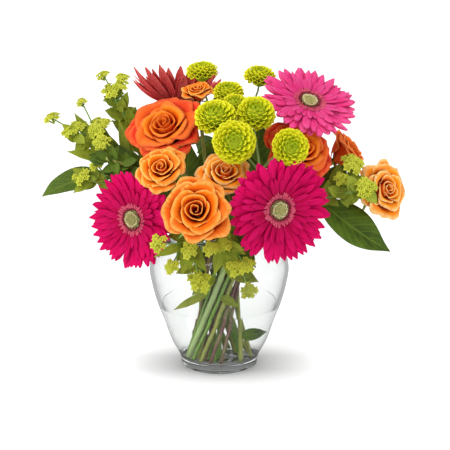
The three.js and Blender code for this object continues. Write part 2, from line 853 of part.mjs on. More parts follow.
    leaves: [
      { at: 1, to: [-172, -30, 183], width: 30, normal: [-0.3, -0.6, 0.7], bow: [-6, 0, 6] },
      { at: 0.8, to: [-118, 30, 178], width: 34, normal: [-0.6, 0.3, 0.6], bow: [0, 0, 8] },
    ],
  },
  {
    name: 'salal_right',
    look: LEAF_GREEN,
    slot: { ring: 3, bearing: 340, lift: 28 },
    size: SALAL,
    end: [98, -36, 180],
    arriving: [0.9, -0.2, 0.1],
    leaves: [
      { at: 1, to: [166, -46, 132], width: 44, normal: [0.2, -0.62, 0.76], bow: [-2, -6, -3] },
      { at: 0.9, to: [126, -22, 214], width: 26, normal: [-0.3, -0.8, 0.3] },
      { at: 0.8, to: [100, -20, 201], width: 20, normal: [0, -0.8, 0.4] },
      { at: 1, to: [123, -20, 205], width: 16, normal: [0, -0.8, 0.4] },
    ],
  },
  {
    name: 'salal_front',
    look: LEAF_GREEN,
    slot: { ring: 2, bearing: 300, lift: 12, reach: 16 },
    size: SALAL,
    end: [16, -54, 153],
    arriving: [0.1, -1, 0.1],
    leaves: [
      { at: 1, to: [26, -78, 126], width: 30, normal: [0.1, -1, 0.3], bow: [0, -5, 4] },
      { at: 1, to: [-1, -76, 130], width: 15, normal: [0, -0.8, 0.4] },
      { at: 1, to: [35, -75, 124], width: 14, normal: [0, -0.8, 0.4] },
      { at: 0.95, to: [-13, -66, 198], width: 20, normal: [0, -0.8, 0.4] },
    ],
  },
  {
    name: 'salal_back_left',
    look: LEAF_GREEN,
    slot: { ring: 3, bearing: 140, lift: 35 },
    size: SALAL,
    end: [-62, 62, 214],
    arriving: [-0.6, 0.6, 0.5],
    leaves: [
      { at: 1, to: [-98, 92, 232], width: 36, normal: [-0.3, 0.6, 0.7], bow: [0, 0, 8] },
      { at: 0.8, to: [-78, 84, 160], width: 36, normal: [-0.4, 0.6, 0.6], bow: [0, 4, 8] },
      { at: 0.3, to: [-30, 36, 223], width: 30, normal: [0, -1, 0.3] },
    ],
  },
  {
    name: 'salal_back',
    look: LEAF_GREEN,
    slot: { ring: 3, bearing: 100, lift: 35 },
    size: SALAL,
    end: [6, 72, 222],
    arriving: [0, 0.6, 0.8],
    leaves: [
      { at: 1, to: [4, 92, 268], width: 38, normal: [0, 0.8, 0.5], bow: [0, 6, 4] },
      { at: 0.9, to: [-22, 106, 196], width: 36, normal: [0, 0.7, 0.7], bow: [0, 2, 8] },
      { at: 0.8, to: [28, 102, 180], width: 36, normal: [0, 0.7, 0.7], bow: [0, 2, 8] },
      { at: 0.5, to: [-8, 60, 221], width: 36, normal: [0, -1, 0.3] },
      { at: 0.7, to: [21, 64, 235], width: 32, normal: [0, -1, 0.3] },
    ],
  },
  {
    name: 'salal_back_right',
    look: LEAF_GREEN,
    slot: { ring: 3, bearing: 60, lift: 35 },
    size: SALAL,
    end: [70, 54, 218],
    arriving: [0.6, 0.6, 0.5],
    leaves: [
      { at: 1, to: [96, 72, 250], width: 34, normal: [0.3, 0.6, 0.7], bow: [0, 0, 8] },
      { at: 0.8, to: [94, 84, 178], width: 38, normal: [0.4, 0.6, 0.6], bow: [0, 4, 8] },
      { height: 36, to: [45, -14, 40], width: 14, normal: [0.1, -0.8, 0.5] },
      { at: 0.4, to: [43, 40, 247], width: 30, normal: [0, -1, 0.3] },
    ],
  },
];

// ---------------------------------------------------------------- water

// The water stands in the vase up to its level, and leaves every stem free.
function waterGeometry() {
  const wetted = INSIDE.filter((point) => point[1] < POOL.level);
  const profile = [
    [0, VASE.floor + GAP],
    [INSIDE[0][0] - VASE.floorRound - POOL.gap, VASE.floor + GAP],
    ...wetted.map(([radius, z]) => [radius - POOL.gap, z]),
    [radiusAt(INSIDE, POOL.level).radius - POOL.gap, POOL.level],
    [0, POOL.level],
  ];
  const full = solid(turned(profile, VASE.segments));
  return geometryOf(submerged.map(solid).reduce((rest, sleeve) => rest.subtract(sleeve), full));
}

// ---------------------------------------------------------------- build

add('vase', turned(vaseProfile(), VASE.segments), GLASS);
GERBERAS.forEach(gerbera);
ROSES.forEach(rose);
MUM_STEMS.forEach(mumStem);
SPRAYS.forEach(spray);
add('water', waterGeometry(), WATER);

export default bouquet;
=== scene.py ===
import math
import random

import bmesh
import bpy
import numpy as np
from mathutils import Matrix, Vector


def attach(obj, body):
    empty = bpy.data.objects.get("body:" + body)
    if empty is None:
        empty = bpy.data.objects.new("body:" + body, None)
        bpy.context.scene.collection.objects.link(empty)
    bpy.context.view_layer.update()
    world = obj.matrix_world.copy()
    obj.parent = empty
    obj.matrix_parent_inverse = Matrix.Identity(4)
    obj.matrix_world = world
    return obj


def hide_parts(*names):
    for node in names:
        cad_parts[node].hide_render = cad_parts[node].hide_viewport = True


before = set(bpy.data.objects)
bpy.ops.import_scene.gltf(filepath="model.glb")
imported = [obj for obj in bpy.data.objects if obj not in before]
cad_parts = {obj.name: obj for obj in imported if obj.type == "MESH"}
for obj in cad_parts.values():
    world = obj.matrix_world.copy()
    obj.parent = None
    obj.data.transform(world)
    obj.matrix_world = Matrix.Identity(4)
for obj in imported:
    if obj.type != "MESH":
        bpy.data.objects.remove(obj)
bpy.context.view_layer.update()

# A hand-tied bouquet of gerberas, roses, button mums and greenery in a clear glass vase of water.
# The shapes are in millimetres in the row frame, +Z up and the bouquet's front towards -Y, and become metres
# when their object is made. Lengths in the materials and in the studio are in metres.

METRE = 0.001
WELD = 0.004  # points nearer than this become one
GOLDEN_TURN = math.radians(137.508)

# ---------------------------------------------------------------- where the pieces are

# The stems cross as a florist's spiral: straight lines that pass nearest to each other at the waist.
WAIST, EXIT, FOOT = 70, 140, 9.3  # heights of the waist, of the mouth and of the stems' lower ends
RING_STEP = 6.3  # between two rings of stems at the waist
TWIST = 0.021  # sideways run of a stem for each unit of rise and of distance from the axis
LIFT, REACH = 30, 30  # how far a stem's curve holds to its start and to its end, if its slot doesn't say

GAP = 0.3  # between a bloom and the end of its stem
GERBERA_DEPTH = 19  # from a gerbera's face back to the end of its stem
ROSE_HEIGHT = 1.12  # of its radius
MUM_HEIGHT = 1.25  # of its radius
OUTWARD = (0, -0.8, 0.4)  # the way a leaf's upper side faces, unless its row says otherwise


def table(keys, *rows):
    """Rows as dictionaries; the last keys may be left out of a row."""
    return [dict(zip(keys.split(), row)) for row in rows]


# A slot is a stem's ring, its bearing in degrees, and its own lift and reach where it has them. A cup is how
# far a gerbera's petals rise. A look is the record's material slot and, unless petal names another, the look
# of the petals; petals is their count.
GERBERAS = table(
    "name face facing radius cup slot look stem",
    ("gerbera_left", (-84, -62, 168), (-0.55, -0.83, 0.05), 50, 8, (3, 220), "pink_petal", "sage"),
    ("gerbera_front", (57, -104, 188), (0.36, -0.93, 0.02), 53, 8, (3, 300), "pink_petal", "sage"),
    ("gerbera_right", (88, -15, 276), (0.23, -0.51, 0.83), 49, 6, (2, 0), "light_pink_petal", "green"),
    ("gerbera_back", (-44, 84, 261), (0, 0.35, 0.93), 47, 34, (2, 120), "red_petal", "green"),
)

# The petals of rose_back, spray_rose_middle and spray_rose_right take lighter copies of their looks, painted
# light, and those of spray_rose_front a darker copy, painted shade.
ROSES = table(
    "name face facing radius slot look petals petal",
    ("rose_left", (-54, -46, 262), (-0.25, -0.62, 0.74), 39.5, (2, 210), "red_rose", 24),
    ("rose_right", (81, -53, 240), (0.35, -0.66, 0.66), 36.5, (2, 330), "red_rose", 23),
    ("rose_back", (138, 20, 223), (0.8, -0.1, 0.6), 28, (3, 20), "red_rose", 19, "back_rose"),
    ("spray_rose_upper", (-54, -99, 230), (-0.2, -0.72, 0.66), 26, (2, 240), "orange_rose", 18),
    ("spray_rose_middle", (6, -89, 225), (0.05, -0.62, 0.78), 27, (2, 270), "orange_rose", 18, "pale_rose"),
    ("spray_rose_front", (-21, -139, 199), (-0.1, -0.89, 0.44), 33, (3, 260),
     "orange_rose", 20, "front_rose"),
    ("spray_rose_top", (-22, 4, 286), (-0.1, -0.35, 0.93), 17, (1, 220), "orange_rose", 15),
    ("spray_rose_right", (168, -28, 191), (0.62, -0.72, 0.3), 31, (3, 0), "orange_rose", 21, "pale_rose"),
)

MUM_STEMS = table(
    "name slot fork blooms",
    ("mum_stem_left", (0, 0), (2, -14, 225), table(
        "name face facing radius reach",
        ("mum_1", (-18, 33, 303), (-0.1, -0.1, 0.99), 14),
        ("mum_2", (9, -2, 287), (0, -0.3, 0.95), 13.5),
        ("mum_4", (-3, -65, 275), (0, -0.5, 0.86), 18),
        ("mum_7", (16, -34, 279), (0.05, -0.5, 0.86), 11.5),
        ("mum_8", (41, 18, 300), (0.1, -0.2, 0.98), 14),
    )),
    ("mum_stem_right", (1, 300), (38, -68, 212), table(
        "name face facing radius reach",
        ("mum_3", (36, -58, 276), (0.1, -0.6, 0.79), 16.5),
        ("mum_5", (15, -100, 253), (0.05, -0.93, 0.36), 18, 0.5),
        ("mum_6", (68, -99, 247), (0.25, -0.92, 0.3), 15.5, 0.25),
    )),
)

# filling: how many small leaves, from what share of the bend, how long; leaves: from, to, width, normal, bow,
# where from is a share of the bend up to 1, or else a height in the vase; twigs: from, to, rise;
# umbels: at, facing, radius.
SPRAYS = table(
    "name slot end arriving filling leaves twigs umbels",
    ("bupleurum_left", (3, 180, 45), (-143, -25, 245), (-0.8, -0.1, 0.5), (20, 0.3, 14),
     [(0.75, (-140, -14, 262), 12), (0.65, (-146, -32, 228), 12), (0.9, (-152, -20, 253), 10),
      (0.8, (-125, -12, 251), 12), (0.85, (-139, -28, 229), 11), (0.6, (-107, -8, 239), 12),
      (0.75, (-131, -18, 246), 12), (0.65, (-118, -12, 255), 12), (0.8, (-137, -24, 239), 11),
      (0.65, (-125, -26, 231), 11), (0.5, (-98, -4, 254), 12), (0.55, (-93, -8, 243), 11),
      (0.9, (-148, -22, 240), 10), (0.85, (-129, -16, 255), 9)],
     [(0.8, (-162, -15, 257)), (0.7, (-134, 0, 270)), (0.6, (-116, -8, 250)), (0.55, (-112, -34, 236)),
      (0.65, (-118, -20, 246)), (0.8, (-138, -22, 249))],
     [((-143, -25, 245), (-0.3, -0.4, 0.8), 9), ((-162, -15, 257), (-0.3, -0.3, 0.9), 8),
      ((-134, 0, 270), (-0.2, -0.2, 0.9), 6), ((-116, -8, 250), (-0.1, -0.4, 0.9), 10),
      ((-112, -34, 236), (-0.1, -0.6, 0.7), 9), ((-118, -20, 246), (-0.1, -0.6, 0.7), 10),
      ((-138, -22, 249), (-0.2, -0.5, 0.8), 8)]),
    ("bupleurum_top_left", (3, 160, 50), (-106, 15, 280), (-0.3, -0.1, 1), (14, 0.4, 13),
     [(0.75, (-112, 2, 262), 14, (-0.2, -0.8, 0.5)), (0.85, (-114, 15, 274), 11),
      (0.8, (-95, 8, 273), 10), (0.6, (-106, 8, 251), 13), (0.9, (-112, 12, 284), 9),
      (0.8, (-90, 10, 279), 10), (0.65, (-90, 8, 265), 12), (0.9, (-97, 16, 290), 8),
      (0.5, (-99, 16, 240), 15), (0.55, (-101, 12, 251), 14), (0.65, (-83, 17, 263), 13),
      (0.45, (-84, 6, 237), 15), (0.6, (-75, 14, 249), 14), (0.7, (-108, 18, 262), 13)],
     [(0.8, (-114, 20, 293)), (0.8, (-96, 22, 291)), (0.85, (-97, 12, 284))],
     [((-106, 13, 279), (-0.2, -0.5, 0.8), 10), ((-115, 20, 293), (-0.3, -0.3, 0.9), 7),
      ((-96, 22, 291), (0, -0.3, 0.9), 7), ((-97, 12, 284), (0, -0.5, 0.8), 8)]),
    ("bupleurum_low_left", (3, 200, 30), (-132, -40, 205), (-0.9, -0.1, 0.3), (14, 0.3, 13),
     [(0.9, (-140, -44, 190), 10, (-0.3, -0.8, 0.4)), (0.85, (-135, -36, 192), 9),
      (0.9, (-141, -42, 214), 9), (0.8, (-120, -38, 211), 9), (0.95, (-140, -42, 200), 9),
      (0.9, (-130, -44, 193), 8)],
     [(0.75, (-118, -38, 217))],
     [((-132, -40, 205), (-0.4, -0.7, 0.5), 9), ((-118, -38, 217), (-0.2, -0.7, 0.6), 7)]),
    ("bupleurum_right", (3, 320, 30), (140, -50, 196), (0.9, -0.2, 0.3), (32, 0.25, 18),
     [(0.8, (122, -36, 188), 14, (0.1, -0.8, 0.5)), (78, (20, -36, 72), 10, (0.1, -0.8, 0.6)),
      (104, (38, -42, 100), 15, (0.1, -0.9, 0.4)), (0.75, (116, -30, 216), 16),
      (0.85, (132, -30, 214), 15), (0.7, (107, -34, 202), 15), (0.85, (139, -40, 207), 12),
      (0.8, (121, -42, 186), 14)],
     [(0.8, (128, -35, 217)), (0.75, (116, -46, 204))],
     [((140, -50, 196), (0.3, -0.8, 0.5), 11), ((128, -37, 217), (0.2, -0.7, 0.7), 11),
      ((116, -46, 204), (0.1, -0.8, 0.5), 7)]),
    ("bupleurum_front_left", (3, 240, 22, 20), (-30, -92, 152), (-0.1, -1, 0), (12, 0.3, 14),
     [(0.6, (-49, -74, 155), 15), (0.7, (-39, -84, 142), 13), (0.5, (-37, -66, 149), 14),
      (1, (-26, -102, 132), 11, (0, -1, 0.2)), (0.9, (-60, -106, 144), 9, (-0.2, -0.9, 0.2)),
      (112, (-42, -28, 104), 13, (-0.3, -0.9, 0.4)), (0.8, (-18, -95, 136), 10),
      (0.7, (-40, -90, 134), 12), (0.85, (-12, -88, 124), 12), (0.9, (-34, -92, 123), 11),
      (0.8, (-40, -96, 152), 10)],
     [(0.9, (-55, -116, 160), -2), (0.8, (-44, -96, 133)), (0.85, (-18, -85, 114)),
      (0.95, (-28, -100, 149))],
     [((-55, -116, 160), (-0.2, -0.9, 0.4), 8), ((-44, -97, 132), (-0.1, -0.9, 0.3), 7),
      ((-18, -85, 114), (0, -0.9, 0.4), 11), ((-28, -100, 149), (0, -0.9, 0.4), 8)]),
    ("bupleurum_front_right", (3, 280, 22, 20), (4, -90, 152), (0, -1, 0), (12, 0.3, 14),
     [(0.95, (-13, -100, 146), 11, (0, -1, 0.2)), (0.95, (24, -98, 148), 10, (0, -1, 0.2)),
      (100, (-26, -46, 88), 15, (-0.2, -0.9, 0.4)),
      (80, (-44, -34, 69), 9, (-0.2, -0.8, 0.6), (0, -4, 2)), (0.9, (18, -92, 135), 10),
      (0.8, (-4, -84, 120), 12), (0.9, (12, -88, 116), 12), (0.9, (25, -94, 143), 10)],
     [(0.9, (17, -90, 130)), (0.95, (-8, -99, 150)), (0.9, (26, -91, 131)), (0.03, (28, -44, 93), 10)],
     [((17, -91, 129), (0.1, -0.9, 0.4), 9), ((4, -91, 151), (0, -0.9, 0.4), 8),
      ((-8, -99, 150), (0, -0.9, 0.4), 7), ((26, -91, 131), (0.1, -0.9, 0.4), 8),
      ((28, -45, 92), (0.2, -0.9, 0.3), 8)]),
    ("dark_sprig_left", (2, 180, 40), (-108, -44, 224), (-0.8, -0.2, 0.3), (26, 0.15, 15),
     [(1, (-124, -46, 228), 8, (-0.2, -0.8, 0.4)), (0.9, (-102, -48, 238), 8, (-0.2, -0.8, 0.4)),
      (0.8, (-92, -46, 212), 9, (-0.2, -0.8, 0.4)), (0.95, (-119, -46, 232), 9),
      (0.85, (-108, -44, 238), 9), (0.7, (-97, -40, 229), 9), (0.9, (-105, -46, 210), 9),
      (1, (-120, -48, 218), 8), (0.95, (-122, -47, 226), 9), (0.8, (-104, -42, 235), 9),
      (0.7, (-88, -38, 221), 9), (0.6, (-86, -32, 231), 9), (0.85, (-113, -47, 211), 9),
      (0.75, (-91, -42, 210), 9), (0.6, (-103, -12, 233), 13), (0.5, (-92, -10, 226), 14),
      (0.4, (-86, -12, 208), 14), (0.7, (-112, -24, 204), 12)]),
    ("salal_left", (2, 150, 35), (-112, -8, 200), (-0.9, -0.1, 0.2), (14, 0.2, 19),
     [(1, (-172, -30, 183), 30, (-0.3, -0.6, 0.7), (-6, 0, 6)),
      (0.8, (-118, 30, 178), 34, (-0.6, 0.3, 0.6), (0, 0, 8))]),
    ("salal_right", (3, 340, 28), (98, -36, 180), (0.9, -0.2, 0.1), (16, 0.2, 19),
     [(1, (166, -46, 132), 44, (0.2, -0.62, 0.76), (-2, -6, -3)),
      (0.9, (126, -22, 214), 26, (-0.3, -0.8, 0.3)), (0.8, (100, -20, 201), 20),
      (1, (123, -20, 205), 16)]),
    ("salal_front", (2, 300, 12, 16), (16, -54, 153), (0.1, -1, 0.1), (10, 0.1, 18),
     [(1, (26, -78, 126), 30, (0.1, -1, 0.3), (0, -5, 4)), (1, (-1, -76, 130), 15),
      (1, (35, -75, 124), 14), (0.95, (-13, -66, 198), 20)]),
    ("salal_back_left", (3, 140, 35), (-62, 62, 214), (-0.6, 0.6, 0.5), (14, 0.1, 26),
     [(1, (-98, 92, 232), 36, (-0.3, 0.6, 0.7), (0, 0, 8)),
      (0.8, (-78, 84, 160), 36, (-0.4, 0.6, 0.6), (0, 4, 8)), (0.3, (-30, 36, 223), 30, (0, -1, 0.3))]),
    ("salal_back", (3, 100, 35), (6, 72, 222), (0, 0.6, 0.8), (14, 0.1, 28),
     [(1, (4, 92, 268), 38, (0, 0.8, 0.5), (0, 6, 4)),
      (0.9, (-22, 106, 196), 36, (0, 0.7, 0.7), (0, 2, 8)),
      (0.8, (28, 102, 180), 36, (0, 0.7, 0.7), (0, 2, 8)), (0.5, (-8, 60, 221), 36, (0, -1, 0.3)),
      (0.7, (21, 64, 235), 32, (0, -1, 0.3))]),
    ("salal_back_right", (3, 60, 35), (70, 54, 218), (0.6, 0.6, 0.5), (14, 0.1, 26),
     [(1, (96, 72, 250), 34, (0.3, 0.6, 0.7), (0, 0, 8)),
      (0.8, (94, 84, 178), 38, (0.4, 0.6, 0.6), (0, 4, 8)), (36, (45, -14, 40), 14, (0.1, -0.8, 0.5)),
      (0.4, (43, 40, 247), 30, (0, -1, 0.3))]),
)

# ---------------------------------------------------------------- shapes in mesh code


def ease(share):
    share = np.clip(share, 0, 1)
    return share * share * (3 - 2 * share)


def unit(vector):
    vector = np.asarray(vector, float)
    return vector / np.linalg.norm(vector)


def bezier(points, share):
    """Points on a cubic curve; share may be any array, and the points may be arrays of its shape."""
    a, b, c, d = points
    rest = 1 - share
    return rest**3 * a + 3 * rest**2 * share * b + 3 * rest * share**2 * c + share**3 * d


def circle(count):
    """The cosines and sines of this many even bearings."""
    angles = np.linspace(0, 2 * math.pi, count, endpoint=False)
    return np.cos(angles), np.sin(angles)


def arc(start, middle, end, share):
    """Points on a square curve, where share is a column."""
    return (1 - share) ** 2 * start + 2 * share * (1 - share) * middle + share**2 * end


def blade(rows, columns):
    """Shares along a blade from 0 to 1 as a column, and across it from -1 to 1 as a row."""
    return np.linspace(0, 1, rows)[:, None], np.linspace(-1, 1, columns)[None, :]


def grid_of(x, y, z):
    return np.stack(np.broadcast_arrays(x, y, z), -1).astype(float)


def spun(grid, angle):
    """The grid turned round Z."""
    c, s = math.cos(angle), math.sin(angle)
    return grid @ np.array([[c, s, 0], [-s, c, 0], [0, 0, 1]])


def head(face, facing, depth):
    """The turn that takes +Z to facing, and the origin that lies that far behind the face."""
    direction = unit(facing)
    turn = np.array(Vector((0, 0, 1)).rotation_difference(Vector(direction)).to_matrix())
    return turn, np.array(face, float) - depth * direction


def link(made):
    bpy.context.scene.collection.objects.link(made)
    return made


VALUES = ("along", "across", "tone", "depth")


def behind(flower, depth):
    """The point that far behind a flower's face, on its axis."""
    return np.array(flower["face"]) - depth * unit(flower["facing"])


class Patches:
    """Grids of points gathered into one mesh, with the values that its materials read."""

    def __init__(self):
        self.turn, self.origin = np.eye(3), np.zeros(3)
        self.points, self.faces, self.looks = [], [], []
        self.values = {name: [] for name in VALUES}
        self.count = 0

    def place(self, turn, origin):
        self.turn, self.origin = turn, origin
        return self

    def add(self, grid, tone=0.5, depth=0.5, look=0, closed=False):
        rows, columns = grid.shape[:2]
        self.points.append(grid.reshape(-1, 3) @ self.turn.T + self.origin)
        spans = columns if closed else columns - 1
        i, j = np.meshgrid(np.arange(rows - 1), np.arange(spans), indexing="ij")
        k = (j + 1) % columns
        low, high = i * columns, (i + 1) * columns
        corners = np.stack([low + j, high + j, high + k, low + k], -1)
        self.faces.append(corners.reshape(-1, 4)[:, ::-1] + self.count)
        self.looks.append(np.full(corners.shape[0] * corners.shape[1], look))
        along, across = blade(rows, columns)
        if closed:
            across = np.linspace(0, 2, columns, endpoint=False)[None, :]
        for name, value in zip(VALUES, (along, across, tone, depth)):
            self.values[name].append(np.broadcast_to(value, (rows, columns)).astype(np.float32).ravel())
        self.count += rows * columns

    def piece(self, name, looks, slot, node, thickness=0.0):
        """The gathered grids as one object, which stands for the CAD node and moves with the frame."""
        points, faces = np.concatenate(self.points) * METRE, np.concatenate(self.faces)
        mesh = bpy.data.meshes.new(name)
        mesh.from_pydata(points, [], faces)
        mesh.polygons.foreach_set("material_index", np.concatenate(self.looks))
        for value in VALUES:
            attribute = mesh.attributes.new(value, "FLOAT", "POINT")
            attribute.data.foreach_set("value", np.concatenate(self.values[value]))
        work = bmesh.new()
        work.from_mesh(mesh)
        bmesh.ops.remove_doubles(work, verts=work.verts, dist=WELD * METRE)
        work.to_mesh(mesh)
        work.free()
        mesh.shade_smooth()
        for look in looks:
            mesh.materials.append(look)
        made = link(bpy.data.objects.new(name, mesh))
        if thickness:
            solid = made.modifiers.new("thickness", "SOLIDIFY")
            solid.thickness = thickness * METRE
            solid.offset = 0
        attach(made, "root")
        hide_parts(node)


def tube(points, radii, sides):
    """A round rod along points, closed at both ends."""
    points = np.asarray(points, float)
    radii = np.broadcast_to(radii, len(points)).astype(float)
    tangents = np.gradient(points, axis=0)
    tangents /= np.linalg.norm(tangents, axis=1)[:, None]
    side = unit(np.cross(tangents[0], (0.3, 0.9, 0.2)))  # any way square to the first tangent
    c, s = circle(sides)
    rings = []
    for point, radius, tangent in zip(points, radii, tangents):
        side = unit(side - tangent * (side @ tangent))
        other = np.cross(tangent, side)
        rings.append(point + radius * (c[:, None] * side + s[:, None] * other))
    start = np.broadcast_to(points[0], rings[0].shape)
    end = np.broadcast_to(points[-1], rings[-1].shape)
    return np.stack([start, *rings, end])


def turned(profile, segments):
    """A surface of revolution through [radius, height] points."""
    c, s = circle(segments)
    profile = np.asarray(profile, float)
    radius, height = profile[:, :1], profile[:, 1:]
    return grid_of(radius * c, radius * s, height)


def golden_place(number, radius, z):
    """The place of a floret on the golden spiral."""
    angle = number * GOLDEN_TURN
    return radius * math.cos(angle), radius * math.sin(angle), z


def bud(at, radius, height, lean=0.0, sides=6):
    """A small rounded stud that stands on at and leans out by this share of its distance from the axis."""
    c, s = circle(sides)
    rise = np.array([0, 0.45, 0.8, 1])[:, None]
    wide = radius * np.array([0.8, 1, 0.75, 0])[:, None]
    x = at[0] + wide * c + lean * at[0] * rise
    y = at[1] + wide * s + lean * at[1] * rise
    return grid_of(x, y, at[2] + height * rise)


# ---------------------------------------------------------------- stems


def spiral_point(slot, z):
    """The point of a slot's straight line at height z; the line leaves the mouth at the slot's bearing."""
    ring, bearing = slot[:2]
    rise = z - WAIST
    angle = math.radians(bearing) - math.atan(TWIST * (EXIT - WAIST))
    radius = ring * RING_STEP
    x, y = radius * math.cos(angle), radius * math.sin(angle)
    return np.array([x - TWIST * rise * y, y + TWIST * rise * x, z])


def spiral_direction(slot):
    return unit(spiral_point(slot, 1) - spiral_point(slot, 0))


def stem_bend(slot, end, arriving):
    """The four points of the curve from the vase's mouth to the stem's end."""
    leave = spiral_point(slot, EXIT)
    end = np.array(end, float)
    lift, reach = (*slot[2:], *(LIFT, REACH)[len(slot) - 2:])
    return leave, leave + lift * spiral_direction(slot), end - reach * unit(arriving), end


def stem_line(slot, radius, end, arriving):
    """Points along a stem, from the vase's floor to its end."""
    direction = spiral_direction(slot)
    foot = FOOT + radius * math.hypot(direction[0], direction[1])
    straight = [spiral_point(slot, z) for z in np.linspace(foot, EXIT, 26)]
    bend = stem_bend(slot, end, arriving)
    curved = [bezier(bend, share) for share in np.linspace(0, 1, 19)[1:]]
    return np.array(straight + curved)


STEM_TONES = {"sage": 0.05, "green": 0.3, "olive": 0.5, "brown": 0.78, "purple": 1.0}


def grow_stem(patches, name, line, radius, tone, joints=0):
    """A stem with slight swellings, and joints where leaves were stripped from it."""
    rnd = random.Random(name)
    length = np.concatenate([[0], np.cumsum(np.linalg.norm(np.diff(line, axis=0), axis=1))])
    radii = np.full(len(line), radius, float)
    radii *= 1 + 0.05 * np.sin(length / 17 + rnd.uniform(0, 6))
    for _ in range(joints):
        at = rnd.uniform(15, length[-1] - 15)
        radii *= 1 + 0.28 * np.exp(-(((length - at) / 2.6) ** 2))
    radii[-1] = radius
    patches.add(tube(line, radii, 12), tone=STEM_TONES[tone], closed=True)


# ---------------------------------------------------------------- gerberas


def ray_floret(rnd, length, width, rise, bend):
    """One long petal along +X: ribbed, a little hollow, narrowed to a small toothed tip."""
    s, a = blade(12, 9)
    half = width / 2 * (0.42 + 0.58 * ease(s / 0.55)) * (1 - 0.86 * np.clip((s - 0.64) / 0.36, 0, 1) ** 2.6)
    teeth = 0.03 * np.abs(np.sin(1.5 * math.pi * a)) * ease((s - 0.82) / 0.18)
    x = length * (s - teeth)
    twist, sway = rnd.uniform(-0.3, 0.3), rnd.uniform(-0.06, 0.06)
    y = half * a + sway * length * s * s
    ribs = 0.045 * width * np.cos(3 * math.pi * a) * ease(s / 0.2)
    z = length * (rise * s + bend * s * s) + ribs - 0.13 * width * a * a + twist * half * a * s
    return grid_of(x, y, z)


RAY_ROOT, INNER_ROOT = 9.5, 9.6  # the radii at which the ray petals and the small ones of the middle start
WHORLS = [  # count of petals, reach as a share of the radius, height, width, extra rise, depth, which sets the painted shade of the inner whorls
    (29, 1.0, 14.0, 9.4, 0.0, 1.0),
    (28, 0.96, 15.0, 8.2, 0.02, 0.85),
    (26, 0.83, 16.0, 6.6, 0.05, 0.6),
    (26, 0.6, 16.8, 4.8, 0.1, 0.3),
]
CALYX = [(0.05, 0), (3.4, 0), (7, 2.5), (10.5, 8), (11.6, 13), (11.2, 16.5), (9, 17.6), (0.05, 18)]
BRACTS = [(0.1, 6, 0.5, 17), (3, 11, 0.8, 19), (6.5, 15, 1.1, 21)]  # from and to a height, how far out, count
BUDS = 70  # the closed florets of the middle, which fill a radius of 5
FLORET_RINGS = [  # from and to a radius, count, thickness, height, lean, look
    (5.2, 7.4, 90, 0.36, 2.6, 0.05, 2),
    (7.5, 10.6, 150, 0.3, 2.6, 0.13, 3),
]
SMALL_RAYS = [(13.5, 44, 0.5), (16.5, 46, 0.3)]  # reach, count, rise
GERBERA_STALK = 3  # radius


def gerbera_rays(flower):
    rnd = random.Random(flower["name"])
    rays = Patches().place(*head(flower["face"], flower["facing"], GERBERA_DEPTH))
    radius = flower["radius"]
    cup = flower["cup"] / radius
    for number, (count, reach, z, width, extra, depth) in enumerate(WHORLS):
        for i in range(count):
            angle = 2 * math.pi * (i + 0.5 * (number % 2)) / count + rnd.uniform(-0.06, 0.06)
            length = radius * reach * rnd.uniform(0.92, 1.02) - RAY_ROOT
            rise = cup * rnd.uniform(0.3, 0.8) + extra + rnd.uniform(-0.04, 0.04)
            bend = cup * 0.5 - rnd.uniform(0, 0.12)
            petal = ray_floret(rnd, length, width * rnd.uniform(0.9, 1.1), rise, bend)
            petal += (RAY_ROOT, 0, z + rnd.uniform(0, 0.5))
            rays.add(spun(petal, angle), tone=rnd.random(), depth=depth)
    name, look = flower["name"], flower["look"]
    rays.piece(name + "_rays", [LOOKS[look]], look, name + "_petals", thickness=0.45)


def gerbera_disc(flower):
    """The florets of the middle and the green cup behind them."""
    rnd = random.Random(flower["name"] + "disc")
    disc = Patches().place(*head(flower["face"], flower["facing"], GERBERA_DEPTH))
    disc.add(turned(CALYX, 32), closed=True)
    wall_radius, wall_height = np.transpose(CALYX[1:6])
    s, a = blade(6, 4)
    for row, (low, high, out, count) in enumerate(BRACTS):
        z = low + (high - low) * s
        cup = np.interp(z, wall_height, wall_radius)
        half = 1.5 * np.sqrt(1 - s) * (0.8 + 0.4 * s)
        bract = grid_of(cup + out * (1 - a * a * 0.6) + 0.5 * s * s, half * a, z)
        for i in range(count):
            disc.add(spun(bract, 2 * math.pi * (i + row / 2) / count), tone=rnd.random(), depth=row / 2)
    for i in range(BUDS):
        r = 5.0 * math.sqrt((i + 0.5) / BUDS)
        at = golden_place(i, r, 17.2 + 0.9 * (1 - (r / 8) ** 2))
        disc.add(bud(at, 0.46, 1.5 - 0.4 * (r < 3), 0.03), tone=rnd.random(), look=1)
    for inner, outer, count, thick, tall, lean, look in FLORET_RINGS:
        for i in range(count):
            at = golden_place(i, rnd.uniform(inner, outer), 17.0)
            height = tall * rnd.uniform(0.75, 1.1)
            disc.add(bud(at, thick, height, lean, 5), tone=rnd.random(), look=look)
    for reach, count, height in SMALL_RAYS:
        for i in range(count):
            length = reach * rnd.uniform(0.88, 1.05) - INNER_ROOT
            petal = ray_floret(rnd, length, 1.9, height, -0.1) + (INNER_ROOT, 0, 17.4)
            petal = spun(petal, 2 * math.pi * (i + rnd.uniform(0, 0.6)) / count)
            disc.add(petal, tone=rnd.random(), look=4)
    looks = [LOOKS[name] for name in ("gerbera_cup", "disc_bud", "disc_pollen", "disc_dark", "disc_rose")]
    disc.piece(flower["name"] + "_heart", looks, "gerbera_disc", flower["name"] + "_disc", thickness=0.25)


def gerbera(flower):
    gerbera_rays(flower)
    gerbera_disc(flower)
    stem = Patches()
    end = behind(flower, GERBERA_DEPTH + GAP)
    line = stem_line(flower["slot"], GERBERA_STALK, end, unit(flower["facing"]))
    grow_stem(stem, flower["name"], line, GERBERA_STALK, flower["stem"])
    stem.piece(flower["name"] + "_stalk", [LOOKS["stem"]], "green_stem", flower["name"] + "_stem")


# ---------------------------------------------------------------- roses

